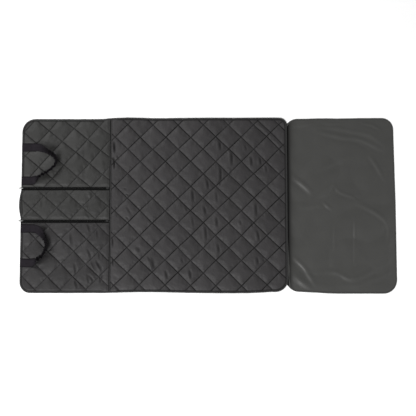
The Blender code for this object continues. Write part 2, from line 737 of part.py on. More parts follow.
def main():
    """Build the liner."""
    clear_scene()
    quilt = material("quilted_fabric", (0.050, 0.049, 0.048), 0.62)
    coated = material("coated_fabric", (0.075, 0.075, 0.071), 0.48)
    tape = material("binding_tape", (0.028, 0.027, 0.027), 0.70)
    band = material("strap_band", (0.014, 0.012, 0.016), 0.85)
    finishes = {
        "tape": material("zip_tape", (0.012, 0.012, 0.012), 0.75),
        "coil": material("zip_coil", (0.010, 0.010, 0.010), 0.45),
        "slider": material("black_metal", (0.010, 0.010, 0.010), 0.35, 1.0),
        "pull": material("bright_metal", (0.62, 0.62, 0.61), 0.28, 1.0),
    }
    floor_panel(quilt)
    back_panels(quilt)
    bumper_flap(coated, tape)
    mat_bindings(tape)
    seam_tape(tape)
    zips(finishes)
    headrest_straps(band)


main()
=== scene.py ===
"""Looks of a cargo liner that lies flat: quilted floor and back-rest sections and a plain bumper flap.

Everything stands in the frame's own axes, in metres: +X towards the flap, +Y across the vehicle, +Z up.
"""

import logging
import math
from dataclasses import dataclass, field, replace
from enum import Enum, IntEnum
from typing import Iterable, Iterator, Sequence

import bmesh
import bpy
import numpy as np
from mathutils import Matrix, Vector


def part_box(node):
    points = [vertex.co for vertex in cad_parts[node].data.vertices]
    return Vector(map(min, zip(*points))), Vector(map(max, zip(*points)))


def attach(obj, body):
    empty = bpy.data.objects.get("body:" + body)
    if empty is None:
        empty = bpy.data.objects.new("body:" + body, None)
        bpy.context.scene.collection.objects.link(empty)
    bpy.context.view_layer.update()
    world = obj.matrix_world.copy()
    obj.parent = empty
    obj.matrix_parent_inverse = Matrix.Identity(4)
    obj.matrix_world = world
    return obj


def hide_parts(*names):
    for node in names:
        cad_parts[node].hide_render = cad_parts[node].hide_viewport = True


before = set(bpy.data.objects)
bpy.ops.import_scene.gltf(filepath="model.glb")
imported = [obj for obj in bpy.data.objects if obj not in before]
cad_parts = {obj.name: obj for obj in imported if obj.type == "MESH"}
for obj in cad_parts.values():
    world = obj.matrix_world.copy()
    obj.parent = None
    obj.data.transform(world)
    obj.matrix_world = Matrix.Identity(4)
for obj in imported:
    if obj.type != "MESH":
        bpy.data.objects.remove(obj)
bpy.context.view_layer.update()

LOG = logging.getLogger("cargo_liner")
UP = np.array((0.0, 0.0, 1.0))
TINY = 1e-9  # the shortest length or lowest speed that counts as more than nothing
CUT_REACH = 1e-6  # how near a cut a point has to lie to be taken as on it
MERGE_REACH = 1e-7  # how near each other two points of a swept form are one
# Near-black that painted shade darkens the cloth towards.
PAINTED_SHADE_COLOUR = (0.002, 0.002, 0.002)

Point = tuple[float, float]
Colour = tuple[float, float, float]
EVEN: Colour = (1.0, 1.0, 1.0)


class Slot(Enum):
    """The record's material slots."""

    QUILT = "quilted_fabric"
    COATED = "coated_fabric"
    BINDING = "binding_tape"
    BAND = "strap_band"
    ZIP_TAPE = "zip_tape"
    COIL = "zip_coil"
    LACQUER = "black_metal"
    NICKEL = "bright_metal"


class Source(Enum):
    """What a pattern follows: the piece's own place, or the length and width of its tape."""

    PLACE = "Object"
    TAPE = "UV"


class Weave(Enum):
    """The surface of a cloth."""

    PLAIN = "plain"
    RIBBED = "ribbed"
    HERRINGBONE = "herringbone"
    GRAIN = "grain"
    PILE = "pile"


class Graph:
    """Builds one procedural material."""

    def __init__(self, name: str, source: Source) -> None:
        """Start a material whose patterns read one kind of coordinates.

        Args:
            name: The material's name.
            source: What its patterns follow.
        """
        self.material = bpy.data.materials.new(name)
        self.material.use_nodes = True
        self.tree = self.material.node_tree
        self.shader = self.tree.nodes["Principled BSDF"]
        self.place = self.tree.nodes.new("ShaderNodeTexCoord").outputs[source.value]
        split = self.tree.nodes.new("ShaderNodeSeparateXYZ")
        self.tree.links.new(self.place, split.inputs[0])
        self.x, self.y = split.outputs[0], split.outputs[1]

    def put(self, socket: bpy.types.NodeSocket, value: object) -> None:
        """Link an output to a socket, or set a plain value on it.

        Args:
            socket: The input to fill.
            value: An output socket, a number or a colour.
        """
        if isinstance(value, bpy.types.NodeSocket):
            self.tree.links.new(value, socket)
        else:
            socket.default_value = value

    def set(self, **inputs: object) -> None:
        """Fill the shader's inputs, whose names are given with underscores for spaces."""
        for name, value in inputs.items():
            self.put(self.shader.inputs[name.replace("_", " ")], value)

    def calc(self, operation: str, *values: object) -> bpy.types.NodeSocket:
        """Return the result of a Math node.

        Args:
            operation: The Math node's operation.
            values: Its inputs, sockets or numbers.

        Returns:
            The node's output.
        """
        node = self.tree.nodes.new("ShaderNodeMath")
        node.operation = operation
        for socket, value in zip(node.inputs, values):
            self.put(socket, value)
        return node.outputs[0]

    def noise(self, size: float, detail: float = 2.0, stretch: Colour = EVEN) -> bpy.types.NodeSocket:
        """Return a cloudy noise between 0 and 1.

        Args:
            size: The size of its clouds in metres.
            detail: How many finer layers it has.
            stretch: Scales of the three axes before the noise.

        Returns:
            The noise's output.
        """
        mapping = self.tree.nodes.new("ShaderNodeMapping")
        self.tree.links.new(self.place, mapping.inputs["Vector"])
        mapping.inputs["Scale"].default_value = stretch
        node = self.tree.nodes.new("ShaderNodeTexNoise")
        self.tree.links.new(mapping.outputs[0], node.inputs["Vector"])
        node.inputs["Scale"].default_value = 1.0 / size
        node.inputs["Detail"].default_value = detail
        return node.outputs[0]

    def cells(self, size: float) -> bpy.types.NodeSocket:
        """Return the distance to the middle of small cells of a size in metres."""
        node = self.tree.nodes.new("ShaderNodeTexVoronoi")
        self.tree.links.new(self.place, node.inputs["Vector"])
        node.inputs["Scale"].default_value = 1.0 / size
        return node.outputs["Distance"]

    def ribs(self, axis: bpy.types.NodeSocket, pitch: float) -> bpy.types.NodeSocket:
        """Return rounded ribs between 0 and 1 that follow each other along an axis at a pitch."""
        wave = self.calc("SINE", self.calc("MULTIPLY", axis, math.tau / pitch))
        return self.calc("MULTIPLY_ADD", wave, 0.5, 0.5)

    def weave(self, weave: Weave, pitch: float) -> bpy.types.NodeSocket:
        """Return the height of a weave between 0 and 1.

        Args:
            weave: The kind of surface.
            pitch: The distance between its threads or grains.

        Returns:
            The height's output.
        """
        if weave is Weave.GRAIN:
            return self.cells(pitch)
        if weave is Weave.PILE:
            return self.calc("MULTIPLY", self.noise(pitch, 4.0), self.cells(2 * pitch))
        if weave is Weave.RIBBED:
            return self.calc("MULTIPLY", self.ribs(self.x, pitch), self.ribs(self.y, 2 * pitch))
        if weave is Weave.HERRINGBONE:
            zigzag = self.calc("PINGPONG", self.y, 4 * pitch)
            return self.ribs(self.calc("ADD", self.x, zigzag), pitch)
        over = self.calc("SINE", self.calc("MULTIPLY", self.x, math.pi / pitch))
        under = self.calc("SINE", self.calc("MULTIPLY", self.y, math.pi / pitch))
        chequer = self.calc("GREATER_THAN", self.calc("MULTIPLY", over, under), 0.0)
        return self.mix(chequer, self.ribs(self.x, pitch), self.ribs(self.y, pitch))

    def mix(self, share: object, first: object, second: object) -> bpy.types.NodeSocket:
        """Return a blend of two numbers.

        Args:
            share: How much of the second, 0 to 1.
            first: A socket or number.
            second: A socket or number.

        Returns:
            The blend's output.
        """
        node = self.tree.nodes.new("ShaderNodeMix")
        for index, value in ((0, share), (2, first), (3, second)):
            self.put(node.inputs[index], value)
        return node.outputs[0]

    def stored(self, name: str) -> bpy.types.NodeSocket:
        """Return a number that the piece's mesh stores under a name."""
        node = self.tree.nodes.new("ShaderNodeAttribute")
        node.attribute_name = name
        return node.outputs["Fac"]

    def tint(self, share: object, first: object, second: object) -> bpy.types.NodeSocket:
        """Return a blend of two colours.

        Args:
            share: How much of the second, 0 to 1.
            first: A socket or linear colour.
            second: A socket or linear colour.

        Returns:
            The blend's output.
        """
        node = self.tree.nodes.new("ShaderNodeMix")
        node.data_type = "RGBA"
        self.put(node.inputs[0], share)
        for index, value in ((6, first), (7, second)):
            self.put(node.inputs[index], (*value, 1.0) if isinstance(value, tuple) else value)
        return node.outputs[2]

    def bump(self, *layers: tuple[bpy.types.NodeSocket, float]) -> None:
        """Lay bump layers over each other on the shader.

        Args:
            layers: Pairs of a height between 0 and 1 and its depth in metres.
        """
        normal = None
        for height, depth in layers:
            node = self.tree.nodes.new("ShaderNodeBump")
            node.inputs["Distance"].default_value = depth
            self.tree.links.new(height, node.inputs["Height"])
            if normal:
                self.tree.links.new(normal, node.inputs["Normal"])
            normal = node.outputs[0]
        self.tree.links.new(normal, self.shader.inputs["Normal"])


@dataclass(frozen=True)
class ClothFinish:
    """A cloth: two close tones, its weave and a fine crinkle. Threads and clouds share in its tone."""

    name: str
    slot: Slot
    source: Source
    weave: Weave
    dark: Colour
    light: Colour
    pitch: float
    depth: float
    crinkle_size: float
    crinkle_depth: float
    roughness: tuple[float, float]
    specular: float
    cloud_size: float = 0.18
    # How strongly the painted shade stored on the mesh darkens the cloth and takes its specular away.
    seam_shade: float = 0.0
    thread_share: float = 0.25

    def material(self) -> bpy.types.Material:
        """Return the cloth's material."""
        graph = Graph(self.name, self.source)
        threads = graph.weave(self.weave, self.pitch)
        clouds = graph.noise(self.cloud_size, 3.0)
        cloudy = graph.calc("MULTIPLY", clouds, 1.0 - self.thread_share)
        share = graph.calc("MULTIPLY_ADD", threads, self.thread_share, cloudy)
        colour, specular = graph.tint(share, self.dark, self.light), self.specular
        # Painted shade: the stored shade darkens the colour towards near-black and fades the specular out.
        if self.seam_shade:
            depth = graph.calc("MULTIPLY", graph.stored("seam"), self.seam_shade)
            colour, specular = graph.tint(depth, colour, PAINTED_SHADE_COLOUR), graph.mix(depth, self.specular, 0.0)
        graph.bump((graph.noise(self.crinkle_size, 3.0), self.crinkle_depth), (threads, self.depth))
        graph.set(
            Base_Color=colour,
            Roughness=graph.mix(graph.noise(self.crinkle_size * 2), *self.roughness),
            Specular_IOR_Level=specular,
        )
        return graph.material


@dataclass(frozen=True)
class HardFinish:
    """A metal or nylon part: its colour, gloss and fine surface marks."""

    name: str
    slot: Slot
    dark: Colour
    light: Colour
    roughness: tuple[float, float]
    mark_size: float
    mark_depth: float
    metallic: float = 0.0
    stretch: Colour = EVEN
    specular: float = 0.5

    def material(self) -> bpy.types.Material:
        """Return the part's material."""
        graph = Graph(self.name, Source.PLACE)
        marks = graph.noise(self.mark_size, 3.0, self.stretch)
        graph.bump((marks, self.mark_depth))
        graph.set(
            Base_Color=graph.tint(marks, self.dark, self.light),
            Roughness=graph.mix(marks, *self.roughness),
            Metallic=self.metallic,
            Specular_IOR_Level=self.specular,
        )
        return graph.material


Finish = ClothFinish | HardFinish

BACK_CLOTH = ClothFinish(
    name="back_cloth",
    slot=Slot.QUILT,
    source=Source.PLACE,
    weave=Weave.PLAIN,
    dark=(0.0178, 0.0178, 0.0170),
    light=(0.0256, 0.0254, 0.0243),
    pitch=0.0005,
    depth=0.00003,
    crinkle_size=0.011,
    crinkle_depth=0.0013,
    roughness=(0.50, 0.64),
    specular=0.30,
    seam_shade=0.90,
)
# Painted light: the floor cloth is the back cloth again, tinted a little lighter and more purple for how the
# floor is lit.
FLOOR_CLOTH = replace(
    BACK_CLOTH,
    name="floor_cloth",
    dark=(0.0194, 0.0182, 0.0188),
    light=(0.0280, 0.0262, 0.0271),
    seam_shade=0.95,
)
# Painted shade: the lower back section's cloth is the floor cloth again, tinted darker for how that section
# is lit.
LOWER_CLOTH = replace(
    FLOOR_CLOTH,
    name="lower_back_cloth",
    dark=(0.0180, 0.0171, 0.0176),
    light=(0.0258, 0.0245, 0.0251),
)
COATED_CLOTH = ClothFinish(
    name="coated_cloth",
    slot=Slot.COATED,
    source=Source.PLACE,
    weave=Weave.GRAIN,
    dark=(0.0318, 0.0318, 0.0298),
    light=(0.0400, 0.0400, 0.0376),
    pitch=0.0010,
    depth=0.00004,
    crinkle_size=0.030,
    crinkle_depth=0.0008,
    roughness=(0.38, 0.50),
    specular=0.45,
    seam_shade=1.0,
)
BINDING_CLOTH = ClothFinish(
    name="binding_cloth",
    slot=Slot.BINDING,
    source=Source.TAPE,
    weave=Weave.RIBBED,
    dark=(0.011, 0.011, 0.0107),
    light=(0.019, 0.0185, 0.0185),
    pitch=0.0007,
    depth=0.00012,
    crinkle_size=0.008,
    crinkle_depth=0.0003,
    roughness=(0.60, 0.75),
    specular=0.30,
)
FLAP_BINDING_CLOTH = replace(
    BINDING_CLOTH,
    name="flap_binding_cloth",
    dark=(0.027, 0.027, 0.0255),
    light=(0.038, 0.038, 0.0358),
    roughness=(0.55, 0.70),
    specular=0.35,
)
BAND_CLOTH = ClothFinish(
    name="band_cloth",
    slot=Slot.BAND,
    source=Source.TAPE,
    weave=Weave.PILE,
    dark=(0.0085, 0.0075, 0.0092),
    light=(0.0190, 0.0165, 0.0200),
    pitch=0.0008,
    depth=0.0006,
    crinkle_size=0.006,
    crinkle_depth=0.0008,
    roughness=(0.80, 0.95),
    specular=0.06,
    cloud_size=0.02,
    seam_shade=1.0,
)
ZIP_CLOTH = ClothFinish(
    name="zip_cloth",
    slot=Slot.ZIP_TAPE,
    source=Source.TAPE,
    weave=Weave.HERRINGBONE,
    dark=(0.0015, 0.0015, 0.0015),
    light=(0.0035, 0.0035, 0.0035),
    pitch=0.0008,
    depth=0.00015,
    crinkle_size=0.010,
    crinkle_depth=0.0002,
    roughness=(0.70, 0.85),
    specular=0.05,
)
FOLD_CLOTH = replace(
    BACK_CLOTH,
    name="fold_seam_cloth",
    slot=Slot.BINDING,
    dark=(0.0205, 0.0204, 0.0197),
    light=(0.0290, 0.0276, 0.0284),
    crinkle_size=0.008,
    crinkle_depth=0.0008,
    specular=0.32,
    seam_shade=1.0,
)
THREAD = HardFinish(
    name="black_thread",
    slot=Slot.QUILT,
    dark=(0.006, 0.006, 0.006),
    light=(0.014, 0.014, 0.014),
    roughness=(0.55, 0.70),
    mark_size=0.0004,
    mark_depth=0.00005,
    specular=0.2,
)
NYLON = HardFinish(
    name="black_nylon",
    slot=Slot.COIL,
    dark=(0.003, 0.003, 0.003),
    light=(0.006, 0.006, 0.006),
    roughness=(0.35, 0.45),
    mark_size=0.0010,
    mark_depth=0.00002,
    specular=0.12,
)
LACQUER = HardFinish(
    name="black_lacquer",
    slot=Slot.LACQUER,
    dark=(0.006, 0.006, 0.006),
    light=(0.015, 0.015, 0.015),
    roughness=(0.45, 0.60),
    mark_size=0.0012,
    mark_depth=0.00002,
    specular=0.25,
)
NICKEL = HardFinish(
    name="brushed_nickel",
    slot=Slot.NICKEL,
    dark=(0.26, 0.26, 0.255),
    light=(0.38, 0.38, 0.37),
    metallic=1.0,
    roughness=(0.34, 0.46),
    mark_size=0.0020,
    mark_depth=0.00003,
    stretch=(1.0, 14.0, 14.0),
)


class Wardrobe:
    """Holds each finish's material, made once."""

    def __init__(self) -> None:
        """Start with no material made."""
        self.made: dict[str, bpy.types.Material] = {}

    def material(self, finish: Finish) -> bpy.types.Material:
        """Return a finish's material, made when it is first asked for."""
        if finish.name not in self.made:
            self.made[finish.name] = finish.material()
        return self.made[finish.name]


WARDROBE = Wardrobe()


@dataclass(frozen=True)
class Plan:
    """The liner's main places, read from the frame."""

    back_end: float
    seam: float
    floor_end: float
    half_width: float
    zip_y: float
    zip_end: float
    zip_reach: float
    flap: tuple[float, float, float, float]
    edge_inset: float
    binding_leg: float = 0.010
    zip_band: float = 0.024
    middle_bulge: float = 0.012

    @classmethod
    def read(cls) -> "Plan":
        """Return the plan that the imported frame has."""
        low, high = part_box("body_binding")
        _, tape_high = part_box("zip_upper_tape_outer")
        inner_low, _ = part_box("zip_upper_tape_inner")
        flap_low, flap_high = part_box("flap_binding")
        sheet_low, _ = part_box("bumper_flap")
        seam_low, seam_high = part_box("fold_seam_tape")
        zip_y = (tape_high.y + inner_low.y) / 2
        return cls(
            back_end=low.x,
            seam=(seam_low.x + seam_high.x) / 2,
            floor_end=high.x,
            half_width=high.y,
            zip_y=zip_y,
            zip_end=tape_high.x,
            zip_reach=tape_high.y - zip_y,
            flap=(flap_low.x, flap_high.x, flap_low.y, flap_high.y),
            edge_inset=sheet_low.x - flap_low.x,
        )


@dataclass(frozen=True)
class Corner:
    """One corner of an outline and the radius that rounds it."""

    x: float
    y: float
    radius: float = 0.0


def outline(corners: Sequence[Corner], segments: int = 10) -> np.ndarray:
    """Return the points of a flat outline with rounded corners.

    Args:
        corners: The corners, anticlockwise.
        segments: Steps in each round corner.

    Returns:
        The outline's points, one row each.
    """
    bm = bmesh.new()
    verts = [bm.verts.new((corner.x, corner.y, 0.0)) for corner in corners]
    bm.faces.new(verts)
    places = [vert.co.copy() for vert in verts]
    for i, (vert, corner) in enumerate(zip(verts, corners)):
        if not corner.radius:
            continue
        back = places[i - 1] - places[i]
        ahead = places[(i + 1) % len(places)] - places[i]
        bmesh.ops.bevel(
            bm,
            geom=[vert],
            affect="VERTICES",
            offset=corner.radius / math.tan(back.angle(ahead) / 2),
            segments=segments,
            profile=0.5,
            material=-1,
        )
    bm.faces.ensure_lookup_table()
    points = np.array([loop.vert.co[:2] for loop in bm.faces[0].loops])
    bm.free()
    start = int(np.argmin(np.hypot(*(points - np.array((corners[0].x, corners[0].y))).T)))
    return np.roll(points, -start, axis=0)


def ease(share: np.ndarray) -> np.ndarray:
    """Return a smooth step from 0 to 1."""
    share = np.clip(share, 0.0, 1.0)
    return share * share * (3 - 2 * share)


def run_along(points: np.ndarray) -> np.ndarray:
    """Return the length of a line from its start to each of its points."""
    return np.concatenate(([0.0], np.cumsum(np.linalg.norm(np.diff(points, axis=0), axis=1))))


def resampled(points: np.ndarray, step: float) -> np.ndarray:
    """Return points evenly spaced along a line.

    Args:
        points: The line's points.
        step: About how far apart the new ones are.

    Returns:
        The new points, ends included.
    """
    run = run_along(points)
    wanted = np.linspace(0.0, run[-1], max(2, round(run[-1] / step) + 1))
    return np.stack([np.interp(wanted, run, column) for column in points.T], axis=1)


def edge_distance(points: np.ndarray, line: np.ndarray) -> np.ndarray:
    """Return how far points lie inside a convex outline that runs anticlockwise.

    Args:
        points: Plan points, one row each.
        line: The outline.

    Returns:
        The distance of each point to the nearest side.
    """
    nearest = np.full(len(points), np.inf)
    for here, there in zip(line, np.roll(line, -1, axis=0)):
        side = (there - here) / max(np.hypot(*(there - here)), TINY)
        nearest = np.minimum(nearest, (points - here) @ np.array((-side[1], side[0])))
    return nearest


def clip(bm: bmesh.types.BMesh, line: np.ndarray) -> None:
    """Cut a flat sheet to a convex outline that runs anticlockwise."""
    for here, there in zip(line, np.roll(line, -1, axis=0)):
        side = there - here
        bmesh.ops.bisect_plane(
            bm,
            geom=[*bm.verts, *bm.edges, *bm.faces],
            dist=CUT_REACH,
            plane_co=(*here, 0.0),
            plane_no=(side[1], -side[0], 0.0),
            clear_outer=True,
        )


def coordinates(bm: bmesh.types.BMesh) -> np.ndarray:
    """Return the places of a mesh's vertices, one row each."""
    return np.array([vert.co for vert in bm.verts]).reshape(-1, 3)


def move_to(bm: bmesh.types.BMesh, places: np.ndarray) -> None:
    """Move each vertex of a mesh to its new place."""
    for vert, place in zip(bm.verts, places):
        vert.co = place


def store_shade(bm: bmesh.types.BMesh, shades: Iterable[float]) -> None:
    """Store on each vertex how much painted shade it gets, 0 to 1, in a seam or a shadow, for its cloth's
    seam_shade.
    """
    layer = bm.verts.layers.float.new("seam")
    for vert, shade in zip(bm.verts, shades):
        vert[layer] = shade


def mesh_from(name: str, bm: bmesh.types.BMesh) -> bpy.types.Mesh:
    """Return a named mesh with the shape of a bmesh, which is freed."""
    mesh = bpy.data.meshes.new(name)
    bm.to_mesh(mesh)
    bm.free()
    return mesh


def in_scene(name: str, data: bpy.types.ID) -> bpy.types.Object:
    """Return a new object in the scene that shows a mesh, a lamp or a camera."""
    made = bpy.data.objects.new(name, data)
    bpy.context.scene.collection.objects.link(made)
    return made


@dataclass(frozen=True)
class Ripple:
    """A smooth random unevenness, the sum of a few waves in seeded directions."""

    length: float
    height: float
    seed: int
    waves: int = 9
    length_range: Point = (0.7, 1.5)

    def at(self, points: np.ndarray) -> np.ndarray:
        """Return the height at plan points, about between -height and height."""
        rng = np.random.default_rng(self.seed)
        total = np.zeros(len(points))
        for _ in range(self.waves):
            angle, phase = rng.uniform(0.0, math.tau, 2)
            count = math.tau / (self.length * rng.uniform(*self.length_range))
            total += np.cos(points @ np.array((math.cos(angle), math.sin(angle))) * count + phase)
        return total * self.height / math.sqrt(self.waves)


@dataclass(frozen=True)
class Fold:
    """A fold mark in cloth: a ridge along a bent line, with a shallow valley on its right."""

    points: tuple[Point, ...]
    height: float = 0.0016
    width: float = 0.006
    valley: float = 0.6
    # How much painted shade the fold lays on the cloth, as a share of its lift.
    shade: float = 0.35
    valley_shift: float = 1.6
    fade_power: float = 0.7
    steps: int = 6

    def lift(self, points: np.ndarray) -> np.ndarray:
        """Return how much the fold lifts the cloth at plan points."""
        line = np.array(self.points)
        if len(line) > 2:
            line = smooth_line(line, self.steps)
        lengths = np.linalg.norm(np.diff(line, axis=0), axis=1)
        best = np.full(len(points), np.inf)
        across = np.zeros(len(points))
        along = np.zeros(len(points))
        run = 0.0
        for here, there, length in zip(line, line[1:], lengths):
            way = (there - here) / length
            reach = np.clip((points - here) @ way, 0.0, length)
            gap = points - here - reach[:, None] * way
            distance = np.hypot(*gap.T)
            nearer = distance < best
            best = np.where(nearer, distance, best)
            side = np.sign(gap @ np.array((way[1], -way[0])))
            across = np.where(nearer, side * distance, across)
            along = np.where(nearer, (run + reach) / lengths.sum(), along)
            run += length
        fade = np.sin(np.clip(along, 0.0, 1.0) * math.pi) ** self.fade_power
        ridge = np.exp(-((across / self.width) ** 2))
        valley = np.exp(-(((across - self.valley_shift * self.width) / self.width) ** 2))
        return self.height * fade * (ridge - self.valley * valley)


def smooth_line(points: np.ndarray, steps: int) -> np.ndarray:
    """Return a smooth curve through points.

    Args:
        points: The points, one row each.
        steps: New points in each stretch.

    Returns:
        The curve's points, ends included.
    """
    ends = np.concatenate(([points[0] * 2 - points[1]], points, [points[-1] * 2 - points[-2]]))
    curve = []
    for a, b, c, d in zip(ends, ends[1:], ends[2:], ends[3:]):
        square, cube = 2 * a - 5 * b + 4 * c - d, 3 * b - a - 3 * c + d
        for t in np.arange(steps) / steps:
            curve.append(0.5 * (2 * b + (c - a) * t + square * t**2 + cube * t**3))
    return np.array([*curve, points[-1]])


@dataclass(frozen=True)
class Lie:
    """How cloth strays from its drawn plan as it lies: its two long edges wander a little."""

    far_edge: tuple[Point, ...]
    near_edge: tuple[Point, ...]
    half_width: float
    still: float
    slant: float = 0.0
    slant_span: Point = (0.0, 1.0)
    steps: int = 8

    def moved(self, places: np.ndarray) -> np.ndarray:
        """Return places with the edges' wandering added, and none of it near the middle."""
        moved = places.copy()
        share = ease((np.abs(places[:, 1]) - self.still) / (self.half_width - self.still))
        for edge, side in ((self.far_edge, 1), (self.near_edge, -1)):
            curve = smooth_line(np.array(edge), self.steps)
            offset = np.interp(places[:, 0], curve[:, 0], curve[:, 1])
            moved[:, 1] += np.where(places[:, 1] * side > 0, offset * share, 0.0)
        start, end = self.slant_span
        reach = np.clip((places[:, 0] - start) / (end - start), 0.0, 1.0)
        moved[:, 0] -= self.slant * reach * np.clip(places[:, 1] / self.half_width, 0.0, 1.0)
        return moved


MAT_LIE = Lie(
    far_edge=(
        (-1.07, -0.006),
        (-0.62, -0.006),
        (-0.54, -0.001),
        (-0.42, 0.0035),
        (-0.24, -0.0005),
        (0.00, 0.002),
        (0.25, 0.002),
        (0.43, 0.003),
        (0.54, 0.001),
    ),
    near_edge=(
        (-1.07, 0.001),
        (-0.98, -0.003),
        (-0.60, -0.003),
        (-0.53, -0.002),
        (-0.35, 0.002),
        (-0.23, 0.0015),
        (-0.01, -0.003),
        (0.24, -0.0045),
        (0.36, -0.001),
        (0.43, 0.003),
        (0.54, 0.002),
    ),
    half_width=0.524,
    still=0.15,
)
FLAP_LIE = Lie(
    far_edge=(
        (0.51, -0.002),
        (0.62, -0.0035),
        (0.74, -0.001),
        (0.86, -0.0015),
        (1.00, 0.0005),
        (1.18, 0.0015),
    ),
    near_edge=((0.51, 0.002), (0.64, 0.002), (0.80, 0.0), (1.18, 0.0)),
    half_width=0.524,
    still=0.15,
    slant=0.007,
    slant_span=(0.56, 1.18),
)
STRAIGHT = ((-2.0, 0.0), (2.0, 0.0))
NO_LIE = Lie(far_edge=STRAIGHT, near_edge=STRAIGHT, half_width=1.0, still=0.5)


@dataclass(frozen=True)
class PanelLie:
    """How a quilted panel strays: with the mat's edges, and a little by itself between them."""

    line: np.ndarray
    seed: int
    length: float = 0.26
    amount: float = 0.0016
    border: float = 0.012
    span: float = 0.060
    first_seed: int = 40
    seeds_apart: int = 10

    def moved(self, places: np.ndarray) -> np.ndarray:
        """Return places with the panel's own straying and the mat's added."""
        moved = places.copy()
        points = places[:, :2]
        free = ease((edge_distance(points, self.line) - self.border) / self.span)
        for axis in (0, 1):
            seed = self.first_seed + self.seed + self.seeds_apart * axis
            moved[:, axis] += Ripple(self.length, self.amount, seed).at(points) * free
        return MAT_LIE.moved(moved)


def add_piece(
    name: str,
    bm: bmesh.types.BMesh,
    finish: Finish,
    body: str = "liner",
    replaces: Sequence[str] = (),
    lie: Lie | PanelLie = NO_LIE,
    recalculate: bool = True,
    slot: Slot | None = None,
) -> bpy.types.Object:
    """Turn a mesh into a dressed piece that rides on a body.

    Args:
        name: The piece's name.
        bm: Its mesh, which is freed.
        finish: Its finish.
        body: The body it moves with.
        replaces: The nodes of the frame that it stands for.
        lie: How its cloth strays from the plan.
        recalculate: Whether its faces are turned to point out.
        slot: The record's slot, where it isn't the finish's own; not used.

    Returns:
        The new object.
    """
    if recalculate:
        bmesh.ops.recalc_face_normals(bm, faces=bm.faces)
    move_to(bm, lie.moved(coordinates(bm)))
    mesh = mesh_from(name, bm)
    mesh.materials.append(WARDROBE.material(finish))
    mesh.shade_smooth()
    piece = in_scene(name, mesh)
    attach(piece, body)
    if replaces:
        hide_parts(*replaces)
    LOG.info("%s: %d faces", name, len(mesh.polygons))
    return piece


def swept(path: np.ndarray, across: np.ndarray, up: np.ndarray, profile: np.ndarray) -> bmesh.types.BMesh:
    """Return a closed tape: a ring profile carried along a path, with its length and width as UV.

    Args:
        path: The path's points.
        across: The profile's first axis at each point.
        up: The profile's second axis at each point.
        profile: The ring's points, one pair each.

    Returns:
        The tape's mesh.
    """
    columns, rows = len(path) - 1, len(profile)
    bm = bmesh.new()
    bmesh.ops.create_grid(bm, x_segments=columns, y_segments=rows, size=0.5)
    grid = coordinates(bm)
    i = np.rint((grid[:, 0] + 0.5) * columns).astype(int)
    j = np.rint((grid[:, 1] + 0.5) * rows).astype(int)
    ring = profile[j % rows]
    move_to(bm, path[i] + across[i] * ring[:, :1] + up[i] * ring[:, 1:])
    run = run_along(path)
    girth = run_along(np.concatenate((profile, profile[:1])))
    layer = bm.loops.layers.uv.new("tape")
    for face in bm.faces:
        for loop in face.loops:
            k = loop.vert.index
            loop[layer].uv = (run[i[k]], girth[j[k]])
    bmesh.ops.remove_doubles(bm, verts=bm.verts, dist=MERGE_REACH)
    bmesh.ops.holes_fill(bm, edges=[edge for edge in bm.edges if edge.is_boundary], sides=0)
    return bm


def frames_along(path: np.ndarray) -> tuple[np.ndarray, np.ndarray]:
    """Return a flat path's tangents and the directions to its left, as rows of three numbers."""
    tangent = np.gradient(path, axis=0)
    tangent /= np.linalg.norm(tangent, axis=1)[:, None]
    left = np.stack((-tangent[:, 1], tangent[:, 0], np.zeros(len(path))), axis=1)
    return tangent, left


@dataclass
class Copies:
    """Copies of one small mesh, gathered in batches, because a large mesh is slow to add to."""

    model: bpy.types.Mesh
    batch_size: int = 150
    whole: bmesh.types.BMesh = field(default_factory=bmesh.new)
    batch: bmesh.types.BMesh = field(default_factory=bmesh.new)
    count: int = 0

    def add(self, place: Matrix) -> None:
        """Add a copy at a place."""
        self.model.transform(place)
        self.batch.from_mesh(self.model)
        self.model.transform(place.inverted())
        self.count += 1
        if self.count % self.batch_size == 0:
            self.flush()

    def flush(self) -> None:
        """Add the batch to the whole."""
        mesh = bpy.data.meshes.new("batch")
        self.batch.to_mesh(mesh)
        self.whole.from_mesh(mesh)
        bpy.data.meshes.remove(mesh)
        self.batch.clear()

    def gathered(self) -> bmesh.types.BMesh:
        """Return all the copies as one mesh, and remove what they were made from."""
        self.flush()
        self.batch.free()
        bpy.data.meshes.remove(self.model)
        return self.whole


@dataclass
class Sewing:
    """Rows of stitches, gathered into one piece of thread."""

    name: str
    length: float = 0.0034
    gap: float = 0.0009
    thickness: float = 0.0006
    flatness: float = 0.7

    def __post_init__(self) -> None:
        """Make the one stitch that all the rows repeat."""
        bm = bmesh.new()
        bmesh.ops.create_icosphere(bm, subdivisions=1, radius=0.5)
        size = (self.length, self.thickness, self.thickness * self.flatness)
        bmesh.ops.scale(bm, vec=size, verts=bm.verts)
        self.stitches = Copies(mesh_from(self.name + "_stitch", bm))

    def row(self, points: np.ndarray) -> None:
        """Sew a row along a line of points in space."""
        places = resampled(points, self.length + self.gap)
        middles, ways = (places[1:] + places[:-1]) / 2, np.diff(places, axis=0)
        for middle, way in zip(middles, ways):
            along = Vector(way).normalized()
            across = Vector(UP).cross(along).normalized()
            turn = Matrix((along, across, along.cross(across))).transposed().to_4x4()
            self.stitches.add(Matrix.Translation(Vector(middle)) @ turn)

    def finish(self, lie: Lie | PanelLie, slot: Slot) -> bpy.types.Object:
        """Return the sewn thread as a piece.

        Args:
            lie: How the cloth it is sewn to strays from the plan.
            slot: The record's slot of that cloth.

        Returns:
            The thread's object.
        """
        return add_piece(self.name, self.stitches.gathered(), THREAD, lie=lie, recalculate=False, slot=slot)


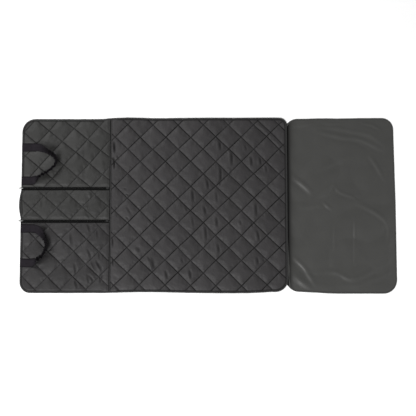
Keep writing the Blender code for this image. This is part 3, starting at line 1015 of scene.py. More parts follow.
def chord(line: np.ndarray, through: np.ndarray, way: np.ndarray, inset: float) -> np.ndarray | None:
    """Return the two ends of a straight line inside a convex outline.

    Args:
        line: The outline, anticlockwise.
        through: A point of the straight line.
        way: Its direction.
        inset: How far inside the outline it stops.

    Returns:
        Two plan points, or None where the line misses the outline.
    """
    low, high = -math.inf, math.inf
    for here, there in zip(line, np.roll(line, -1, axis=0)):
        side = there - here
        inward = np.array((-side[1], side[0])) / max(np.hypot(*side), TINY)
        room = (through - here) @ inward - inset
        speed = way @ inward
        if abs(speed) < TINY:
            if room < 0:
                return None
            continue
        limit = -room / speed
        if speed > 0:
            low = max(low, limit)
        else:
            high = min(high, limit)
    if low >= high:
        return None
    return np.array((through + way * low, through + way * high))


class Draw(IntEnum):
    """What a panel draws its random numbers for, added to its own seed."""

    FILL = 0
    COARSE = 0
    GATHERS = 3
    # Draws for the wavering strength of the painted seam shade.
    SHADE_WAVER = 5
    FINE = 7
    # Draws for the painted shade of each diamond.
    DIAMOND_SHADE = 9


@dataclass
class QuiltedPanel:
    """A quilted panel: face cloth sewn down in diamonds over thin wadding, and a flat backing.

    A count is the number of stitch lines from the pattern's start. Its whole numbers lie on the lines.
    """

    name: str
    node: str
    line: np.ndarray
    crossing: Point
    seed: int
    folds: tuple[Fold, ...]
    cloth: ClothFinish = BACK_CLOTH
    turn: float = 0.0
    doubled: tuple[Point, Point] | None = None
    pressed: tuple[tuple[Point, Point], ...] = ()
    unbound: tuple[tuple[int, float], ...] = ()
    # Painted shade: how dark each family of seam lines is, and the most that a diamond is darkened.
    line_shades: Point = (1.0, 1.0)
    cell_shade: float = 0.15
    pitch: Point = (0.152, 0.148)
    half_steps: int = 8
    crowding: float = 1.45
    grid_merge: float = 0.0012
    seam_z: float = 0.0040
    rise: float = 0.0052
    fullness: float = 4.5
    fill_range: Point = (0.85, 1.15)
    random_cells: int = 64
    coarse: Point = (0.05, 0.0004)
    fine: Point = (0.024, 0.0002)
    edge_span: float = 0.014
    held_seam: float = 0.002
    held_edge: float = 0.012
    settle_steps: int = 18
    mass: float = 0.25
    tension_stiffness: float = 20.0
    shear_stiffness: float = 8.0
    bending_stiffness: float = 1.2
    air_damping: float = 2.0
    pressure: float = 2.0
    growth: float = 0.008
    swell_limit: float = 0.0022
    groove: float = 0.0012
    groove_width: float = 0.0022
    edge_slope: float = 0.008
    fold_clearance: float = 0.007
    gathers: Point = (0.016, 0.0008)
    gather_start: float = 0.004
    gather_reach: float = 0.009
    pressed_z: float = 0.0053
    pressed_slope: float = 0.30
    # Painted shade along the seams, its wavering strength, and painted shade along the bound edges.
    shade_width: float = 0.0030
    seam_shade_mean: float = 0.86
    seam_shade_waver: Point = (0.16, 0.16)
    seam_shade_range: Point = (0.4, 1.0)
    edge_shade: float = 0.8
    edge_shade_start: float = 0.001
    edge_shade_width: float = 0.0042
    unbound_span: float = 0.030
    unbound_slope: float = 0.02
    flange_z: float = 0.0037
    flange_clearance: float = 0.0002
    base_z: float = 0.0003
    under_margin: float = 0.024
    under_slope: float = 0.010
    inset_share: float = 0.9
    smallest_diamond: float = 0.0004
    diamond_share: float = 0.9
    backing_reach: float = 1e-5
    binding_leg: float = 0.010
    thread_inset: float = 0.002
    thread_lift: float = 0.35
    shortest_row: float = 0.02

    def __post_init__(self) -> None:
        """Work out the stitch pattern's axes, with its crossing nearest to the panel's middle."""
        cosine, sine = math.cos(self.turn), math.sin(self.turn)
        half = np.array(self.pitch) / 2
        rotate = np.array(((cosine, -sine), (sine, cosine)))
        self.axes = rotate @ np.array(((half[0], half[0]), (half[1], -half[1])))
        middle = (self.line.min(0) + self.line.max(0)) / 2
        start = np.array(self.crossing)
        steps = np.rint(np.linalg.solve(self.axes, middle - start))
        self.start = start + self.axes @ steps
        corners = np.linalg.solve(self.axes, (self.line - self.start).T)
        self.reach = math.ceil(np.abs(corners).max()) + 1
        self.spacing = abs(np.linalg.det(self.axes)) / np.hypot(*half)

    def counts(self, points: np.ndarray) -> np.ndarray:
        """Return plan points in counts of stitch lines, one column each way."""
        return np.linalg.solve(self.axes, (points - self.start).T).T

    def depth(self, points: np.ndarray) -> np.ndarray:
        """Return how far plan points lie inside the panel's outline."""
        return edge_distance(points, self.line)

    def stitch_lines(self) -> Iterator[tuple[np.ndarray, np.ndarray, np.ndarray]]:
        """Yield a point of each stitch line, the direction across it and the direction along it."""
        for way, across in zip(self.axes.T[::-1], np.linalg.inv(self.axes)):
            for step in range(-self.reach, self.reach + 1):
                yield self.start + across / (across @ across) * step, across, way

    def doubled_line(self) -> tuple[float, float, float] | None:
        """Return the doubled stitch line as its count one way and its two ends the other way."""
        if not self.doubled:
            return None
        ends = self.counts(np.array(self.doubled))
        return float(ends[:, 0].mean()), float(ends[:, 1].min()), float(ends[:, 1].max())

    def doubled_gap(self, counts: np.ndarray) -> np.ndarray:
        """Return the distance to the doubled stitch line in counts, endless where there is none."""
        extra = self.doubled_line()
        if not extra:
            return np.full(len(counts), np.inf)
        beyond = np.maximum(extra[1] - counts[:, 1], counts[:, 1] - extra[2])
        return np.hypot(counts[:, 0] - extra[0], np.maximum(beyond, 0.0))

    def seam_gap(self, points: np.ndarray) -> np.ndarray:
        """Return the distance of plan points to the nearest stitch line."""
        counts = self.counts(points)
        gap = np.abs(counts - np.rint(counts)).min(axis=1)
        return np.minimum(gap, self.doubled_gap(counts)) * self.spacing

    def cell_values(self, counts: np.ndarray, draw: Draw, low: float, high: float) -> np.ndarray:
        """Return a random value for the diamond in which each point lies.

        Args:
            counts: The points in counts of stitch lines.
            draw: What the value is for.
            low: The least value.
            high: The greatest value.

        Returns:
            One value for each point.
        """
        size = (self.random_cells, self.random_cells)
        values = np.random.default_rng(self.seed + draw).uniform(low, high, size)
        cells = np.floor(counts).astype(int) % self.random_cells
        return values[cells[:, 0], cells[:, 1]]

    def pillow(self, points: np.ndarray) -> np.ndarray:
        """Return how high the wadding lifts the face cloth, 0 on the seams to about 1."""
        counts = self.counts(points)
        gaps = np.abs(counts - np.rint(counts))
        gaps[:, 0] = np.minimum(gaps[:, 0], self.doubled_gap(counts))
        full = 1 - (1 - np.minimum(2 * gaps, 1.0)) ** self.fullness
        inside = np.clip((self.depth(points) - self.binding_leg) / self.edge_span, 0.0, 1.0)
        edge = 1 - (1 - inside) ** 3
        return full.prod(axis=1) * edge * self.cell_values(counts, Draw.FILL, *self.fill_range)

    def face_cloth(self) -> bmesh.types.BMesh:
        """Return the face cloth as an open sheet over its wadding."""
        bm = bmesh.new()
        segments = 4 * self.reach * self.half_steps
        bmesh.ops.create_grid(bm, x_segments=segments, y_segments=segments, size=self.reach)
        counts = coordinates(bm)[:, :2]
        beside = counts - np.rint(counts)
        crowded = np.rint(counts) + np.sign(beside) * 0.5 * (2 * np.abs(beside)) ** self.crowding
        plan = self.start + crowded @ self.axes.T
        move_to(bm, np.column_stack((plan, np.zeros(len(plan)))))
        clip(bm, self.line)
        bmesh.ops.remove_doubles(bm, verts=bm.verts, dist=self.grid_merge)
        places = coordinates(bm)
        points = places[:, :2]
        unevenness = Ripple(*self.coarse, self.seed + Draw.COARSE).at(points)
        unevenness += Ripple(*self.fine, self.seed + Draw.FINE).at(points)
        pillow = self.pillow(points)
        places[:, 2] = self.seam_z + self.rise * pillow + unevenness * np.minimum(pillow * 2, 1.0)
        move_to(bm, places)
        bmesh.ops.recalc_face_normals(bm, faces=bm.faces)
        return bm

    def settle(self, bm: bmesh.types.BMesh) -> bpy.types.Mesh:
        """Let the face cloth settle over its wadding, sewn down along the stitch lines.

        Args:
            bm: The open sheet, which is freed.

        Returns:
            The settled sheet, subdivided once.
        """
        start = coordinates(bm)
        cloth = in_scene(self.name + "_settling", mesh_from(self.name, bm))
        self.simulate(cloth, start)
        finer = cloth.modifiers.new("finer", "SUBSURF")
        finer.levels = finer.render_levels = 1
        graph = bpy.context.evaluated_depsgraph_get()
        settled = bpy.data.meshes.new_from_object(cloth.evaluated_get(graph), depsgraph=graph)
        bpy.data.objects.remove(cloth)
        return settled

    def simulate(self, cloth: bpy.types.Object, start: np.ndarray) -> None:
        """Run the cloth simulation and keep its result, within a limit of the sewn shape.

        Args:
            cloth: The open sheet.
            start: Its vertices' places before.
        """
        sewn = cloth.vertex_groups.new(name="sewn")
        points = start[:, :2]
        held = (self.seam_gap(points) < self.held_seam) | (self.depth(points) < self.held_edge)
        sewn.add([int(k) for k in np.flatnonzero(held)], 1.0, "REPLACE")
        modifier = cloth.modifiers.new("settle", "CLOTH")
        settings = modifier.settings
        settings.quality = 4
        settings.mass = self.mass
        settings.tension_stiffness = self.tension_stiffness
        settings.compression_stiffness = self.tension_stiffness
        settings.shear_stiffness = self.shear_stiffness
        settings.bending_stiffness = self.bending_stiffness
        settings.air_damping = self.air_damping
        settings.vertex_group_mass = sewn.name
        settings.use_pressure = True
        settings.uniform_pressure_force = self.pressure
        settings.shrink_min = -self.growth
        settings.effector_weights.gravity = 0.0
        modifier.collision_settings.use_collision = False
        scene = bpy.context.scene
        for step in range(1, self.settle_steps + 1):
            scene.frame_set(step)
        graph = bpy.context.evaluated_depsgraph_get()
        settled = np.array([vert.co for vert in cloth.evaluated_get(graph).data.vertices])
        shift = settled - start
        far = np.linalg.norm(shift, axis=1)
        shift *= np.minimum(1.0, self.swell_limit / np.maximum(far, TINY))[:, None]
        cloth.modifiers.remove(modifier)
        scene.frame_set(1)
        for vert, place in zip(cloth.data.vertices, start + shift):
            vert.co = place

    def lowest(self, points: np.ndarray) -> np.ndarray:
        """Return the height under which the face cloth may not sink, over the edge and inside it."""
        room = ease((self.depth(points) - self.under_margin) / self.under_slope)
        return self.flange_z + self.flange_clearance - self.groove * room

    def inside(self, points: np.ndarray) -> np.ndarray:
        """Return how far plan points are clear of the bound edge, 0 to 1."""
        return np.clip((self.depth(points) - 0.5 * self.binding_leg) / self.edge_slope, 0.0, 1.0)

    def seam_height(self, points: np.ndarray) -> np.ndarray:
        """Return the height of the face cloth down in a seam."""
        return np.maximum(self.seam_z - self.groove * self.inside(points), self.lowest(points))

    def crease(self, places: np.ndarray) -> np.ndarray:
        """Return the settled places with the seams' grooves and the fold marks added."""
        points = places[:, :2]
        gap, inside = self.seam_gap(points), self.inside(points)
        free = 1 - np.exp(-((gap / self.fold_clearance) ** 2))
        edge = np.maximum(self.depth(points) - self.binding_leg, 0.0)
        near = np.exp(-np.minimum(gap, edge) / self.gather_reach)
        creased = places.copy()
        for fold in self.folds:
            creased[:, 2] += fold.lift(points) * free * inside
        gathers = Ripple(*self.gathers, self.seed + Draw.GATHERS).at(points)
        creased[:, 2] += gathers * near * np.clip(gap / self.gather_start, 0.0, 1.0) * inside
        creased[:, 2] -= self.groove * np.exp(-((gap / self.groove_width) ** 2)) * inside
        for low, high in self.pressed:
            outside = np.maximum(np.maximum(np.array(low) - points, points - np.array(high)), 0.0)
            limit = self.pressed_z + self.pressed_slope * np.hypot(*outside.T)
            creased[:, 2] = np.minimum(creased[:, 2], limit)
        creased[:, 2] = np.maximum(creased[:, 2], self.lowest(points))
        return creased

    def seam_shade(self, points: np.ndarray) -> np.ndarray:
        """Return how deep plan points lie in the painted shade of a sewn seam, its strength wavering along
        the seams.
        """
        crossing = self.counts(points)
        crossing = np.abs(crossing - np.rint(crossing)) * self.spacing
        second = crossing[:, 1] < crossing[:, 0]
        family = np.where(second, self.line_shades[1], self.line_shades[0])
        seam_shade_level = self.seam_shade_mean + Ripple(*self.seam_shade_waver, self.seed + Draw.SHADE_WAVER).at(points)
        sewn = np.exp(-((self.seam_gap(points) / self.shade_width) ** 2))
        return sewn * np.clip(seam_shade_level, *self.seam_shade_range) * family

    def bound_shade(self, points: np.ndarray) -> np.ndarray:
        """Return how deep plan points lie in the shade along the panel's bound edges."""
        bound = self.depth(points) - self.binding_leg - self.edge_shade_start
        share = np.full(len(points), self.edge_shade)
        for axis, place in self.unbound:
            beside = np.abs(points[:, axis] - place)
            share *= ease((beside - self.unbound_span) / self.unbound_slope)
        return share * np.exp(-((bound / self.edge_shade_width) ** 2))

    def shades(self, points: np.ndarray) -> np.ndarray:
        """Return the painted shade on the face cloth at plan points: in seams, along bound edges, on folds
        and per diamond.
        """
        deepest = np.maximum(self.seam_shade(points), self.bound_shade(points))
        # Painted shade per diamond, in place of the light each diamond's own tilt would catch.
        tones = self.cell_values(self.counts(points), Draw.DIAMOND_SHADE, 0.0, self.cell_shade)
        deepest = np.maximum(deepest, tones)
        for fold in self.folds:
            deepest = np.maximum(deepest, fold.shade * fold.lift(points) / fold.height)
        return deepest

    def close_underneath(self, bm: bmesh.types.BMesh) -> None:
        """Close the sheet with its thin edge and a flat backing that is sewn in diamonds too.

        Args:
            bm: The open sheet.
        """
        rim = [edge for edge in bm.edges if edge.is_boundary]
        grown = bmesh.ops.extrude_edge_only(bm, edges=rim)["geom"]
        lower = [item for item in grown if isinstance(item, bmesh.types.BMVert)]
        for vert in lower:
            vert.co.z = self.flange_z
        rim = [edge for edge in bm.edges if edge.is_boundary]
        backing = bmesh.ops.contextual_create(bm, geom=rim)["faces"]
        low, high, inset = self.line.min(axis=0), self.line.max(axis=0), 0.0
        for thickness in (self.under_margin, self.under_slope):
            bmesh.ops.inset_region(bm, faces=backing, thickness=thickness, use_even_offset=False)
            inset += thickness * self.inset_share
            verts = {vert for face in backing for vert in face.verts}
            for vert in verts:
                vert.co.x = min(max(vert.co.x, low[0] + inset), high[0] - inset)
                vert.co.y = min(max(vert.co.y, low[1] + inset), high[1] - inset)
        for vert in verts:
            vert.co.z = self.base_z + self.groove
        self.quilt_backing(bm, backing)

    def quilt_backing(self, bm: bmesh.types.BMesh, backing: list[bmesh.types.BMFace]) -> None:
        """Cut the backing along the stitch lines and press each diamond down.

        Args:
            bm: The panel's mesh.
            backing: The backing's faces.
        """
        for through, across, _ in self.stitch_lines():
            edges = {edge for face in backing for edge in face.edges}
            verts = {vert for face in backing for vert in face.verts}
            cut = bmesh.ops.bisect_plane(
                bm,
                geom=[*backing, *edges, *verts],
                dist=self.backing_reach,
                plane_co=(*through, 0.0),
                plane_no=(*across, 0.0),
            )
            backing = [item for item in cut["geom"] if isinstance(item, bmesh.types.BMFace)]
        diamonds = [face for face in backing if face.calc_area() > self.smallest_diamond]
        bmesh.ops.inset_individual(bm, faces=diamonds, thickness=0.0)
        for face in diamonds:
            centre = face.calc_center_median()
            for vert in face.verts:
                vert.co = centre.lerp(vert.co, self.diamond_share) - Vector(UP) * self.groove

    def sew(self) -> bpy.types.Object:
        """Return the thread of the quilting."""
        sewing = Sewing(self.name + "_quilting_thread")
        inset = self.binding_leg + self.thread_inset
        lines = [
            chord(self.line, through, way / np.hypot(*way), inset) for through, _, way in self.stitch_lines()
        ]
        extra = self.doubled_line()
        if extra:
            ends = np.array(((extra[0], extra[1]), (extra[0], extra[2])))
            lines.append(self.start + ends @ self.axes.T)
        for line in lines:
            if line is None or np.hypot(*(line[1] - line[0])) < self.shortest_row:
                continue
            line = resampled(line, sewing.length + sewing.gap)
            sewing.row(np.column_stack((line, self.seam_height(line) + sewing.thickness * self.thread_lift)))
        return sewing.finish(self.lie(), Slot.QUILT)

    def lie(self) -> "PanelLie":
        """Return how the panel and its stitch lines stray."""
        return PanelLie(self.line, self.seed)

    def build(self) -> bpy.types.Object:
        """Return the finished panel."""
        settled = self.settle(self.face_cloth())
        bm = bmesh.new()
        bm.from_mesh(settled)
        bpy.data.meshes.remove(settled)
        move_to(bm, self.crease(coordinates(bm)))
        store_shade(bm, self.shades(coordinates(bm)[:, :2]))
        self.close_underneath(bm)
        panel = add_piece(self.name, bm, self.cloth, replaces=[self.node], lie=self.lie())
        self.sew()
        return panel


@dataclass
class BumperFlap:
    """The plain flap: one sheet of smooth coated cloth with soft folds, bound all round."""

    plan: Plan
    line: np.ndarray
    folds: tuple[Fold, ...]
    cell: float = 0.005
    grid_merge: float = 0.0010
    middle_z: float = 0.0013
    thickness: float = 0.0010
    binding_leg: float = 0.010
    swells: Ripple = Ripple(0.34, 0.0040, 5)
    waves: Ripple = Ripple(0.11, 0.0006, 6)
    sag: float = 0.0002
    tucked: float = 0.01
    tuck_slope: float = 0.05
    # Painted shadow of the floor panel's raised edge on the flap.
    tuck_dark: float = 1.1
    tuck_shade: float = 0.021
    tuck_power: float = 1.2
    calm_edge: float = 0.04
    fold_edge: float = 0.012

    def height(self, points: np.ndarray) -> np.ndarray:
        """Return the height of the flap's cloth at plan points, level where it is tucked in."""
        inside = edge_distance(points, self.line) - self.binding_leg
        lift = np.abs(self.swells.at(points)) + self.waves.at(points)
        lift *= np.clip(inside / self.calm_edge, 0.0, 1.0)
        for fold in self.folds:
            lift += fold.lift(points) * np.clip(inside / self.fold_edge, 0.0, 1.0)
        free = np.clip((points[:, 0] - self.plan.floor_end + self.tucked) / self.tuck_slope, 0.0, 1.0)
        return self.middle_z + np.maximum(lift, -self.sag) * free

    def shades(self, points: np.ndarray) -> np.ndarray:
        """Return how deep plan points lie in the shade of the floor panel's edge."""
        beyond = np.maximum(points[:, 0] - self.plan.floor_end, 0.0)
        return np.minimum(self.tuck_dark * np.exp(-((beyond / self.tuck_shade) ** self.tuck_power)), 1.0)

    def build(self) -> bpy.types.Object:
        """Return the flap's sheet."""
        left, right, low, high = self.plan.flap
        bm = bmesh.new()
        size = Matrix.Diagonal((right - left, high - low, 1.0, 1.0))
        bmesh.ops.create_grid(
            bm,
            x_segments=round((right - left) / self.cell),
            y_segments=round((high - low) / self.cell),
            size=0.5,
            matrix=Matrix.Translation(((left + right) / 2, (low + high) / 2, 0.0)) @ size,
        )
        clip(bm, self.line)
        bmesh.ops.remove_doubles(bm, verts=bm.verts, dist=self.grid_merge)
        places = coordinates(bm)
        points = places[:, :2]
        places[:, 2] = self.height(points)
        move_to(bm, places)
        store_shade(bm, self.shades(points))
        flap = add_piece("flap_sheet", bm, COATED_CLOTH, replaces=["bumper_flap"], lie=FLAP_LIE)
        wall = flap.modifiers.new("thickness", "SOLIDIFY")
        wall.thickness = self.thickness
        wall.offset = 0.0
        return flap


@dataclass
class EdgeBinding:
    """A narrow tape folded round an edge and sewn down through both legs."""

    name: str
    node: str
    path: np.ndarray
    lie: Lie
    finish: ClothFinish
    leg: float = 0.010
    wall: float = 0.0005
    step: float = 0.008
    stitch_inset: float = 0.0075
    nose_steps: int = 7
    dip_share: float = 0.4
    waver: Ripple = Ripple(0.06, 0.0002, 11)

    def profile(self, height: float) -> np.ndarray:
        """Return the folded tape's section, from its lower leg round the nose to its upper leg."""
        radius, dip = height / 2, self.wall * self.dip_share
        angles = np.linspace(-math.pi / 2, -3 * math.pi / 2, self.nose_steps)
        turn = np.stack((np.cos(angles), np.sin(angles)), axis=1)
        nose, inside = radius + radius * turn, radius + (radius - self.wall) * turn[::-1]
        upper = np.array(((self.stitch_inset, height - dip), (self.leg, height - dip / 2)))
        under = upper[::-1] - (0.0, self.wall)
        return np.concatenate((((self.leg, 0.0),), nose, upper, under, inside, ((self.leg, self.wall),)))

    def build(self) -> bpy.types.Object:
        """Return the binding, and sew it down."""
        low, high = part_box(self.node)
        path = resampled(self.path, self.step)
        places = np.column_stack((path, np.full(len(path), low.z)))
        _, left = frames_along(path)
        places += left * self.waver.at(path)[:, None]
        bm = swept(places, left, np.tile(UP, (len(path), 1)), self.profile(high.z - low.z))
        binding = add_piece(self.name, bm, self.finish, replaces=[self.node], lie=self.lie)
        sewing = Sewing(self.name + "_thread", length=0.0030, gap=0.0008, thickness=0.0005)
        sewing.row(places + left * self.stitch_inset + UP * (high.z - low.z))
        sewing.finish(self.lie, Slot.BINDING)
        return binding


@dataclass
class FoldSeam:
    """The seam where the back-rest sections fold on the floor panel: a tape with a cleft down its middle."""

    plan: Plan
    cleft_half: float = 0.0030
    cleft_shift: float = -0.0022
    cleft_bottom: float = 0.0002
    crown: float = 0.0022
    crown_power: float = 0.8
    spread_power: float = 1.6
    belly: float = 0.0002
    top_side: float = 0.0001
    wander: Ripple = Ripple(0.08, 0.0008, 21)
    crinkle: Ripple = Ripple(0.018, 0.0004, 22)
    columns: int = 12
    rows: int = 400

    def cleft(self, offset: np.ndarray) -> np.ndarray:
        """Return how far offsets from the cleft's middle lie down in it, 0 to 1."""
        return np.exp(-((offset / self.cleft_half) ** 2))

    def profile(self, width: float, height: float) -> np.ndarray:
        """Return the tape's section: two crowned halves with the cleft between them."""
        half = width / 2
        spread = np.linspace(-1.0, 1.0, 2 * self.columns + 1)
        offset = np.sign(spread) * np.abs(spread) ** self.spread_power * half
        offset += self.cleft_shift * (1 - spread**2)
        shoulder = height + self.crown * np.sin(np.abs(offset) / half * math.pi) ** self.crown_power
        depth = self.cleft(offset - self.cleft_shift)
        top = np.stack((offset, shoulder * (1 - depth) + self.cleft_bottom * depth), axis=1)[::-1]
        return np.concatenate((top, ((-half, 0.0), (0.0, -self.belly), (half, 0.0))))

    def build(self) -> bpy.types.Object:
        """Return the seam's tape."""
        low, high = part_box("fold_seam_tape")
        y = np.linspace(low.y, high.y, self.rows)
        path = np.stack((np.full(len(y), (high.x + low.x) / 2), y, np.full(len(y), low.z)), axis=1)
        path[:, 0] += self.wander.at(path[:, :2])
        across, up = np.tile((1.0, 0.0, 0.0), (len(y), 1)), np.tile(UP, (len(y), 1))
        bm = swept(path, across, up, self.profile(high.x - low.x, high.z - low.z))
        places = coordinates(bm)
        middle = np.interp(places[:, 1], y, path[:, 0]) + self.cleft_shift
        # Painted shade down the cleft.
        store_shade(bm, self.cleft(places[:, 0] - middle))
        upper = places[:, 2] > low.z + self.top_side
        places[upper, 2] += self.crinkle.at(places[upper, :2])
        move_to(bm, places)
        return add_piece("fold_seam_cover", bm, FOLD_CLOTH, replaces=["fold_seam_tape"], lie=MAT_LIE)


@dataclass
class SmallHardware:
    """A small hard part of the frame with its edges softened and its surface finished."""

    node: str
    finish: Finish
    body: str = "liner"
    soft_edge: float = 0.00018
    merge: float = 2e-6
    flat_angle: float = math.radians(1.0)
    soft_angle: float = math.radians(35.0)
    sharp_angle: float = math.radians(60.0)

    def build(self) -> bpy.types.Object:
        """Return the finished part, which stands for its node."""
        bm = bmesh.new()
        bm.from_mesh(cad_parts[self.node].data)
        bmesh.ops.remove_doubles(bm, verts=bm.verts, dist=self.merge)
        bmesh.ops.dissolve_limit(bm, angle_limit=self.flat_angle, verts=bm.verts, edges=bm.edges)
        part = add_piece(self.node + "_finished", bm, self.finish, self.body, [self.node], recalculate=False)
        part.data.set_sharp_from_angle(angle=self.sharp_angle)
        soften = part.modifiers.new("soft_edges", "BEVEL")
        soften.width = self.soft_edge
        soften.segments = 2
        soften.limit_method = "ANGLE"
        soften.angle_limit = self.soft_angle
        return part


@dataclass
class Zip:
    """One coil zip between two back-rest sections."""

    row: str
    plan: Plan
    tooth_pitch: float = 0.00152
    tooth_length: float = 0.0009
    tooth_height: float = 0.95
    tooth_round: float = 0.35
    first_tooth: float = 0.7
    head_width: float = 1.35
    head_overlap: float = 0.0003
    coil_thread_rows: Point = (0.55, 0.8)
    coil_stitch: float = 0.9
    coil_thread: float = 0.0004
    tape_step: float = 0.010
    tape_tuck: float = 0.0085
    tape_thin: float = 0.9
    bead: Point = (0.0005, 0.00015)
    bead_end: float = 0.0012
    waver: Ripple = Ripple(0.05, 0.00006, 31)
    stitch_shift: float = 0.0025
    stitch_start: float = 0.008
    stitch_z: float = 0.0049

    def centre(self) -> float:
        """Return the zip's own line across the liner."""
        return math.copysign(self.plan.zip_y, 1.0 if self.row == "upper" else -1.0)

    def tape(self, label: str) -> None:
        """Make one woven tape, a little thicker at the coil, that ends tucked under the fold seam."""
        node = f"zip_{self.row}_tape_{label}"
        low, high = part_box(node)
        inner = low.y if abs(low.y - self.centre()) < abs(high.y - self.centre()) else high.y
        side = 1.0 if inner == low.y else -1.0
        end = high.x + self.tape_tuck
        x = np.linspace(low.x, end, round((end - low.x) / self.tape_step))
        path = np.stack((x, np.full(len(x), inner), np.full(len(x), low.z)), axis=1)
        path[:, 2] += self.waver.at(path[:, :2])
        width, wall = high.y - low.y, high.z - low.z
        thin = wall * self.tape_thin
        bead = (self.bead[0], wall + self.bead[1])
        top = ((0.0, wall), bead, (self.bead_end, wall), (width * 0.5, thin), (width, thin))
        across, up = np.tile((0.0, side, 0.0), (len(x), 1)), np.tile(UP, (len(x), 1))
        bm = swept(path, across, up, np.array(((0.0, 0.0), *top, (width, 0.0))))
        add_piece(node + "_woven", bm, ZIP_CLOTH, replaces=[node])

    def tooth(self, width: float, height: float) -> bpy.types.Mesh:
        """Return one turn of the nylon coil, a rounded bar with a thicker head."""
        bm = bmesh.new()
        bmesh.ops.create_cube(bm, size=1.0)
        bmesh.ops.scale(bm, vec=(self.tooth_length, width, height), verts=bm.verts)
        head = [vert for vert in bm.verts if vert.co.y > 0]
        bmesh.ops.scale(bm, vec=(self.head_width, 1.0, 1.0), verts=head)
        bmesh.ops.bevel(
            bm,
            geom=bm.edges[:],
            affect="EDGES",
            offset=self.tooth_length * self.tooth_round,
            segments=1,
            profile=0.5,
            material=-1,
        )
        return mesh_from("tooth", bm)

    def coil(self, label: str) -> None:
        """Make one row of the coil, turn by turn, with the thread that sews it to its tape."""
        node = f"zip_{self.row}_coil_{label}"
        low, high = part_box(node)
        side = 1.0 if (low.y + high.y) / 2 > self.centre() else -1.0
        width, height = high.y - low.y, high.z - low.z
        teeth = Copies(self.tooth(width + self.head_overlap, height * self.tooth_height))
        shift = 0.0 if label == "outer" else self.tooth_pitch / 2
        turn = Matrix.Rotation(math.pi if side > 0 else 0.0, 4, "Z")
        y = (low.y + high.y) / 2 - side * self.head_overlap / 2
        for k in range(int((high.x - low.x - self.tooth_length - shift) / self.tooth_pitch)):
            x = low.x + shift + self.tooth_length * self.first_tooth + k * self.tooth_pitch
            teeth.add(Matrix.Translation((x, y, (low.z + high.z) / 2)) @ turn)
        add_piece(node + "_teeth", teeth.gathered(), NYLON, replaces=[node], recalculate=False)
        stitch = self.tooth_pitch * self.coil_stitch
        sewing = Sewing(node + "_thread", stitch, self.tooth_pitch - stitch, self.coil_thread)
        for share in self.coil_thread_rows:
            y = (low.y if side > 0 else high.y) + side * width * share
            sewing.row(np.array(((low.x, y, high.z), (high.x, y, high.z))))
        sewing.finish(NO_LIE, Slot.ZIP_TAPE)

    def top_stitching(self) -> None:
        """Sew the panels' edges to the tapes on both sides of the zip."""
        sewing = Sewing(f"zip_{self.row}_top_stitching", length=0.0030, gap=0.0009, thickness=0.0005)
        start, end = self.plan.back_end + self.stitch_start, self.plan.zip_end
        for side in (-1, 1):
            y = self.centre() + side * self.plan.zip_band / 2 - self.stitch_shift
            sewing.row(np.array(((start, y, self.stitch_z), (end, y, self.stitch_z))))
        sewing.finish(NO_LIE, Slot.QUILT)

    def build(self) -> None:
        """Make the whole zip."""
        for label in ("outer", "inner"):
            self.tape(label)
            self.coil(label)
            SmallHardware(f"zip_{self.row}_stop_{label}", LACQUER).build()
        SmallHardware(f"zip_{self.row}_retainer", LACQUER, soft_edge=0.0003).build()
        SmallHardware(f"zip_{self.row}_slider", LACQUER, f"{self.row}_slider").build()
        SmallHardware(f"zip_{self.row}_pull", NICKEL, f"{self.row}_pull").build()
        self.top_stitching()


